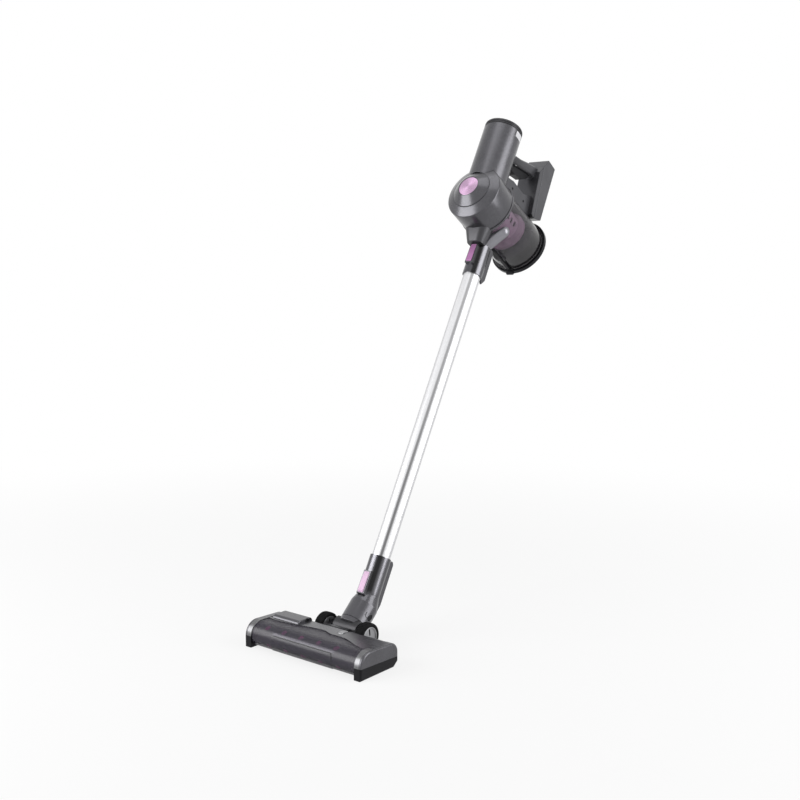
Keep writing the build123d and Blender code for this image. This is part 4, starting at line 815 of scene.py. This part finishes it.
CAD_FINISHES = {
    # The pivot drum's darker grey is partly painted shade of the hollow between the wheels.
    dark_grey: ("pivot_drum",),
    black_plastic: ("chassis", "sole_plate", "battery_rail", "swivel_keepers", "motor_can",
                    "motor_pulley", "impeller", "charge_jack", "body_screws"),
    soft_rubber: ("lid_seal", "rear_wiper", "drive_belt"),
    steel: ("wheel_axles", "sole_screws", "hinge_pins", "drive_motor"),
    brass: ("brush_bearings", "wand_contacts"),
}


class FinishedNodes(bpy.types.Operator):
    """Give every carried-over node of the frame its finish"""
    bl_idname = "vacuum.finished_nodes"
    bl_label = "Finish the frame's own pieces"

    def execute(self, context):
        c = colours()
        for finish, nodes in CAD_FINISHES.items():
            for name in nodes:
                dress(name, finish())
        dress("wand_tube", wand_metal("wand metal", c.tube))
        dress("pre_filter", pleated_paper("filter paper", c.paper))
        dress("exhaust_filter", pleated_paper("exhaust foam", shade(c.handle, 0.5)))
        return {"FINISHED"}


def dress(node, finish):
    """Put a finish on a CAD node's own slots."""
    obj = NODES[node]
    if not obj.material_slots:
        obj.data.materials.append(finish)
    for slot in obj.material_slots:
        slot.material = finish


# ---------------------------------------------------------------- softened copies of the frame's shells


def softened(node, finish, bevel, angle):
    """Show a node as a copy with its edges rounded as a moulding's are."""
    piece(node + "_skin", from_cad(node), FLOOR, finish, NODES[node]["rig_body"], (node,), angle, bevel)


# ---------------------------------------------------------------- hand-held unit


class Drum(bpy.types.Operator):
    """Drum shell with its rim, the screw-in filter cap and the spun disc on it"""
    bl_idname = "vacuum.drum"
    bl_label = "Drum and filter cap"

    def execute(self, context):
        grey = body_grey()
        sides = context.scene.vacuum_sizes.sides
        shell = lathe(DRUM_SHELL, sides)
        piece("drum_shell", shell, DRUM, grey, "handheld", ("drum_housing",), angle=50)
        cap = lathe(FILTER_CAP, sides)
        for turn in (30, 150, 270):
            lug = prism(CAP_LUG, low=73.0, depth=2.0, soft=0.3)
            cap = join(cap, turned(lug, Matrix.Rotation(math.radians(turn), 4, "Z")))
        piece("filter_cap_skin", cap, DRUM, grey, "filter_unit", ("filter_cap",), angle=50)
        disc = lathe(CAP_DISC, sides)
        piece("spun_disc", disc, DRUM, spun_metal("spun disc", colours().disc), "filter_unit", ("cap_disc",),
              angle=50)
        return {"FINISHED"}


class Barrel(bpy.types.Operator):
    """Motor barrel, its dark exhaust cap, and the blank label on its side"""
    bl_idname = "vacuum.barrel"
    bl_label = "Barrel and exhaust cap"

    def execute(self, context):
        softened("barrel_housing", body_grey(), bevel=0.5, angle=40)
        softened("exhaust_cap", cap_grey(), bevel=0.35, angle=40)
        softened("indicator_window", moulded("blank label", colours().label, 0.3),
                 bevel=0.12, angle=40)
        return {"FINISHED"}


class DustCup(bpy.types.Operator):
    """Smoked cup, the purple cyclone inside it, the lid and the slider that frees it"""
    bl_idname = "vacuum.dust_cup"
    bl_label = "Dust cup"

    def execute(self, context):
        softened("dust_cup", smoked_cup(), bevel=0.3, angle=40)
        softened("cyclone_shroud", clear_purple(), bevel=0.3, angle=40)
        softened("cup_lid", black_gloss(), bevel=0.8, angle=40)
        softened("lid_release", black_plastic(), bevel=0.6, angle=30)
        return {"FINISHED"}


class Handle(bpy.types.Operator):
    """Both halves of the handle, and the trigger under its bar"""
    bl_idname = "vacuum.handle"
    bl_label = "Handle and trigger"

    def execute(self, context):
        for side in ("left", "right"):
            softened("handle_" + side, handle_grey(), bevel=1.2, angle=30)
        softened("trigger", black_plastic(), bevel=0.9, angle=30)
        return {"FINISHED"}


class Battery(bpy.types.Operator):
    """Battery block with its release button"""
    bl_idname = "vacuum.battery"
    bl_label = "Battery"

    def execute(self, context):
        softened("battery_case", handle_grey(), bevel=1.0, angle=25)
        softened("battery_button", black_plastic(), bevel=0.6, angle=30)
        return {"FINISHED"}


class Inlet(bpy.types.Operator):
    """Collar that takes the wand, the web and the pipe that carry it to the cup, and its release button"""
    bl_idname = "vacuum.inlet"
    bl_label = "Inlet"

    def execute(self, context):
        softened("inlet_collar", collar_grey("collar grey", colours().body), bevel=0.6, angle=25)
        softened("inlet_pipe", pipe_grey(), bevel=0.5, angle=40)
        softened("collar_web", web_grey(), bevel=0.6, angle=40)
        softened("inlet_button", moulded("purple button", colours().button, 0.35),
                 bevel=0.7, angle=25)
        return {"FINISHED"}


# ---------------------------------------------------------------- neck and floor head


class Neck(bpy.types.Operator):
    """Elbow with its socket and spine, the swivel ring under it, and the release button"""
    bl_idname = "vacuum.neck"
    bl_label = "Neck"

    def execute(self, context):
        softened("neck_elbow", neck_grey("neck grey", colours().body), bevel=0.35, angle=34)
        softened("swivel_ring", body_grey(), bevel=0.5, angle=40)
        softened("head_button", moulded("pink button", colours().pale_button, 0.35),
                 bevel=0.7, angle=25)
        return {"FINISHED"}


def round_roller(x, reach, turn):
    """A point at a distance and an angle about the roller's axis; 0 faces forward and a right angle up."""
    return x, ROLLER[0] - reach * math.cos(turn), ROLLER[1] + reach * math.sin(turn)


def window_section(x, steps=96):
    """The window's closed outline at one place along the head, its raised band included."""
    left, right, low, high = BAND
    outside, inside = [], []
    for k in range(steps + 1):
        turn = math.radians(WINDOW_FROM + WINDOW_SWEEP * k / steps)
        z = ROLLER[1] + WINDOW_REACH * math.sin(turn)
        out_x = max(abs(x - (left + right) / 2) - ((right - left) / 2 - BAND_CORNER), 0)
        out_z = max(abs(z - (low + high) / 2) - ((high - low) / 2 - BAND_CORNER), 0)
        off = math.hypot(out_x, out_z) - BAND_CORNER
        rise = BAND_RISE * min(max(0.5 - off / BAND_EDGE, 0), 1)
        outside.append(round_roller(x, WINDOW_REACH + rise, turn))
        if k % 4 == 0:
            inside.append(round_roller(x, WINDOW_REACH - WINDOW_WALL, turn))
    top = ROLLER[1] + WINDOW_REACH - WINDOW_STEP
    return outside + [(x, WINDOW_REAR, top), (x, WINDOW_REAR, top - WINDOW_WALL)] + inside[::-1]


def window_pane():
    """The whole window, with closer sections beside the ends of its band."""
    stops = {-WINDOW_HALF, WINDOW_HALF, *range(-108, 109, 4)}
    for end in BAND[:2]:
        stops |= {end + 0.45 * k for k in range(-14, 15)}
    return rings([window_section(x) for x in sorted(stops)])


class FloorHead(bpy.types.Operator):
    """Shells of the floor head: cover, motor cover, end caps, bumpers, bright bands and the clear window"""
    bl_idname = "vacuum.floor_head"
    bl_label = "Floor head"

    def execute(self, context):
        softened("top_cover", body_grey(), bevel=0.5, angle=30)
        softened("motor_cover", body_grey(), bevel=0.5, angle=30)
        for side in ("left", "right"):
            softened("end_cap_" + side, body_grey(), bevel=0.5, angle=30)
            softened("bumper_" + side, black_plastic(), bevel=1.0, angle=30)
        softened("cap_trims", satin_trim(), bevel=0.35, angle=30)
        softened("cover_latch", bright_latch(), bevel=0.5, angle=30)
        piece("brush_window_skin", window_pane(), FLOOR, smoked_window(), "floor_head", ("brush_window",),
              angle=50)
        return {"FINISHED"}


class Wheels(bpy.types.Operator):
    """Rear wheels: ribbed soft tyres on dished hubs"""
    bl_idname = "vacuum.wheels"
    bl_label = "Wheels"

    def execute(self, context):
        size = context.scene.vacuum_sizes
        for end, side in ((-1, "left"), (1, "right")):
            axle = placed((0, *AXLE), (0, 1, 0), (end, 0, 0))
            tyre = lathe(TYRE, size.tread * 2, 2)
            grooves = []
            for face in tyre.faces:
                middle = face.calc_center_median()
                rib = int((math.atan2(middle.y, middle.x) + math.pi) / math.pi * size.tread)
                if abs(face.normal.z) < 0.4 and middle.xy.length > TYRE_RADIUS - 0.8 and rib % 2:
                    grooves.append(face)
            bmesh.ops.inset_region(tyre, faces=grooves, thickness=0.12, depth=-0.7, use_even_offset=True)
            piece("tyre_tread_" + side, tyre, axle, soft_rubber(), "wheel_" + side, ("tyre_" + side,),
                  angle=30)
            softened("wheel_hub_" + side, slotted_hub("hub", colours().hub), bevel=0.4, angle=30)
        return {"FINISHED"}


class Roller(bpy.types.Operator):
    """Brush roller: a dark core, its short pile and three rows of bristle tufts"""
    bl_idname = "vacuum.roller"
    bl_label = "Brush roller"

    def execute(self, context):
        size = context.scene.vacuum_sizes
        softened("brush_core", rubber("roller", colours().black, 0.85), bevel=0.4, angle=30)
        spindle = placed((0, *ROLLER), (0, 1, 0), (1, 0, 0))
        pile = rubber("pile", shade(colours().black, 1.6), 0.95)
        piece("dark_pile", lathe(PILE), spindle, pile, "brush", (), angle=40)
        tufts = bmesh.new()
        for row in range(TUFT_ROWS):
            turn = math.radians(ROW_TURN * row + FIRST_TURN)
            out = Vector((0, math.cos(turn), math.sin(turn)))
            for spot in range(ROW_TUFTS):
                along = TUFT_PITCH * (spot - ROW_TUFTS // 2) - ROW_SHIFTS[row % 2]
                root = placed(Vector((along, *ROLLER)) + out * TUFT_ROOT, (1, 0, 0), out)
                for k in range(size.bristles):
                    reach = TUFT_RADIUS * math.sqrt((k + 0.5) / size.bristles)
                    way = k * GOLDEN_ANGLE
                    hair = bmesh.ops.create_cone(tufts, cap_ends=True, **BRISTLE)
                    lean = Matrix.Rotation(LEAN_PER_MM * reach, 4, Vector((-math.sin(way), math.cos(way), 0)))
                    foot = Matrix.Translation((reach * math.cos(way), reach * math.sin(way), BRISTLE_MIDDLE))
                    bmesh.ops.transform(tufts, matrix=root @ foot @ lean, verts=hair["verts"])
        piece("bristle_tufts", turned(tufts, Matrix.Scale(1 / MM, 4)), FLOOR, bristle(), "brush",
              ("brush_tufts",), angle=40)
        return {"FINISHED"}


# ---------------------------------------------------------------- stage


def lamp(name, power, place, aim, size):
    """A rectangular soft light that faces a point."""
    light = bpy.data.lights.new(name, "AREA")
    light.shape = "RECTANGLE"
    light.size, light.size_y = size
    light.energy = power
    obj = bpy.data.objects.new(name, light)
    obj.location = place
    obj.rotation_euler = (Vector(aim) - Vector(place)).to_track_quat("-Z", "Y").to_euler()
    bpy.context.scene.collection.objects.link(obj)


class Stage(bpy.types.Operator):
    """Set out the floor, the soft lights and the camera"""
    bl_idname = "vacuum.stage"
    bl_label = "Set the stage"

    def execute(self, context):
        s = context.scene.vacuum_stage
        bm = bmesh.new()
        bmesh.ops.create_grid(bm, x_segments=1, y_segments=1, size=FLOOR_HALF)
        mesh = bpy.data.meshes.new("floor")
        bm.to_mesh(mesh)
        bm.free()
        floor = bpy.data.objects.new("floor", mesh)
        context.scene.collection.objects.link(floor)
        mesh.materials.append(pale_floor(s.floor))
        context.scene.world = studio_room(s.sky)
        lamp("right light", s.key, place=(1.53, 0.76, 0.85), aim=(0, 0.3, 0.55), size=(1.2, 1.7))
        lamp("left light", s.fill, place=(-0.95, -1.2, 0.8), aim=(0, 0.3, 0.6), size=(1.5, 1.1))
        lamp("top light", s.top, place=(0.1, 0.2, 2.2), aim=(0, 0.3, 0.5), size=(1.2, 1.2))
        lens = bpy.data.cameras.new("camera")
        lens.sensor_width = 36
        lens.lens = s.lens
        camera = bpy.data.objects.new("camera", lens)
        camera.location = s.stand
        camera.rotation_euler = s.aim
        context.scene.collection.objects.link(camera)
        context.scene.camera = camera
        context.scene.view_settings.view_transform = "Standard"
        return {"FINISHED"}


def sees_background(graph):
    """1 for the rays that should find a plain white background, 0 for the light itself."""
    path = graph.node("ShaderNodeLightPath").socket.node.outputs
    rays = ("Is Camera Ray", "Is Glossy Ray", "Is Transmission Ray")
    eye, gloss, through = (Channel(graph, path[ray]) for ray in rays)
    return graph.node("ShaderNodeMath", {"operation": "MINIMUM"}, {0: eye + gloss + through, 1: 1.0})


def pale_floor(colour):
    """Pale floor that shows as white further off and keeps the object's shadow close by."""
    f = Finish("pale floor", Roughness=0.9, Specular_IOR_Level=0.1)
    x, y, _ = f.axes(f.local())
    reach = (x * x + y * y) ** 0.5
    grain = f.noise(f.local(), 0.02, 2.0)
    f.feed(Base_Color=f.blend(grain, shade(colour, 0.99), shade(colour, 1.01)))
    white = f.node("ShaderNodeEmission", {}, {"Strength": 1.0})
    share = sees_background(f) * reach.ramp(300, 2000, 0.8, 1.0)
    mix = f.node("ShaderNodeMixShader", {}, {0: share})
    f.tree.links.new(f.shader.outputs[0], mix.socket.node.inputs[1])
    f.tree.links.new(white.socket, mix.socket.node.inputs[2])
    f.tree.links.new(mix.socket, f.tree.nodes["Material Output"].inputs["Surface"])
    return f.material


class Room(Finish):
    """The world's own nodes, built the same way."""

    def __init__(self, name):
        self.world = bpy.data.worlds.new(name)
        self.world.use_nodes = True
        self.tree = self.world.node_tree


def studio_room(strength):
    """A room that shows as plain white and sheds a weaker light on what stands in it."""
    r = Room("room")
    seen = sees_background(r)
    light = seen + (1 - seen) * strength
    back = r.tree.nodes["Background"]
    r.tree.links.new(light.socket, back.inputs["Strength"])
    back.inputs["Color"].default_value = (1, 1, 1, 1)
    return r.world


# ---------------------------------------------------------------- panel, register, main


class VacuumPanel(bpy.types.Panel):
    """Buttons that build the vacuum piece by piece, and the values they use"""
    bl_idname = "VACUUM_PT_build"
    bl_label = "Stick vacuum"
    bl_space_type = "VIEW_3D"
    bl_region_type = "UI"
    bl_category = "Vacuum"

    def draw(self, context):
        for operator in (Stage, FinishedNodes, *PIECES):
            self.layout.operator(operator.bl_idname)
        for group in (context.scene.vacuum_colours, context.scene.vacuum_sizes, context.scene.vacuum_stage):
            for name in group.__annotations__:
                self.layout.prop(group, name)


PIECES = (Drum, Barrel, DustCup, Handle, Battery, Inlet, Neck, FloorHead, Wheels, Roller)
CLASSES = (VacuumColours, VacuumSizes, VacuumStage, Stage, FinishedNodes, *PIECES, VacuumPanel)


def register():
    for cls in CLASSES:
        bpy.utils.register_class(cls)
    bpy.types.Scene.vacuum_colours = PointerProperty(type=VacuumColours)
    bpy.types.Scene.vacuum_sizes = PointerProperty(type=VacuumSizes)
    bpy.types.Scene.vacuum_stage = PointerProperty(type=VacuumStage)


def unregister():
    del bpy.types.Scene.vacuum_stage
    del bpy.types.Scene.vacuum_sizes
    del bpy.types.Scene.vacuum_colours
    for cls in reversed(CLASSES):
        bpy.utils.unregister_class(cls)


def main():
    register()
    bpy.ops.vacuum.stage()
    bpy.ops.vacuum.finished_nodes()
    bpy.ops.vacuum.drum()
    bpy.ops.vacuum.barrel()
    bpy.ops.vacuum.dust_cup()
    bpy.ops.vacuum.handle()
    bpy.ops.vacuum.battery()
    bpy.ops.vacuum.inlet()
    bpy.ops.vacuum.neck()
    bpy.ops.vacuum.floor_head()
    bpy.ops.vacuum.wheels()
    bpy.ops.vacuum.roller()


if __name__ == "__main__":
    main()
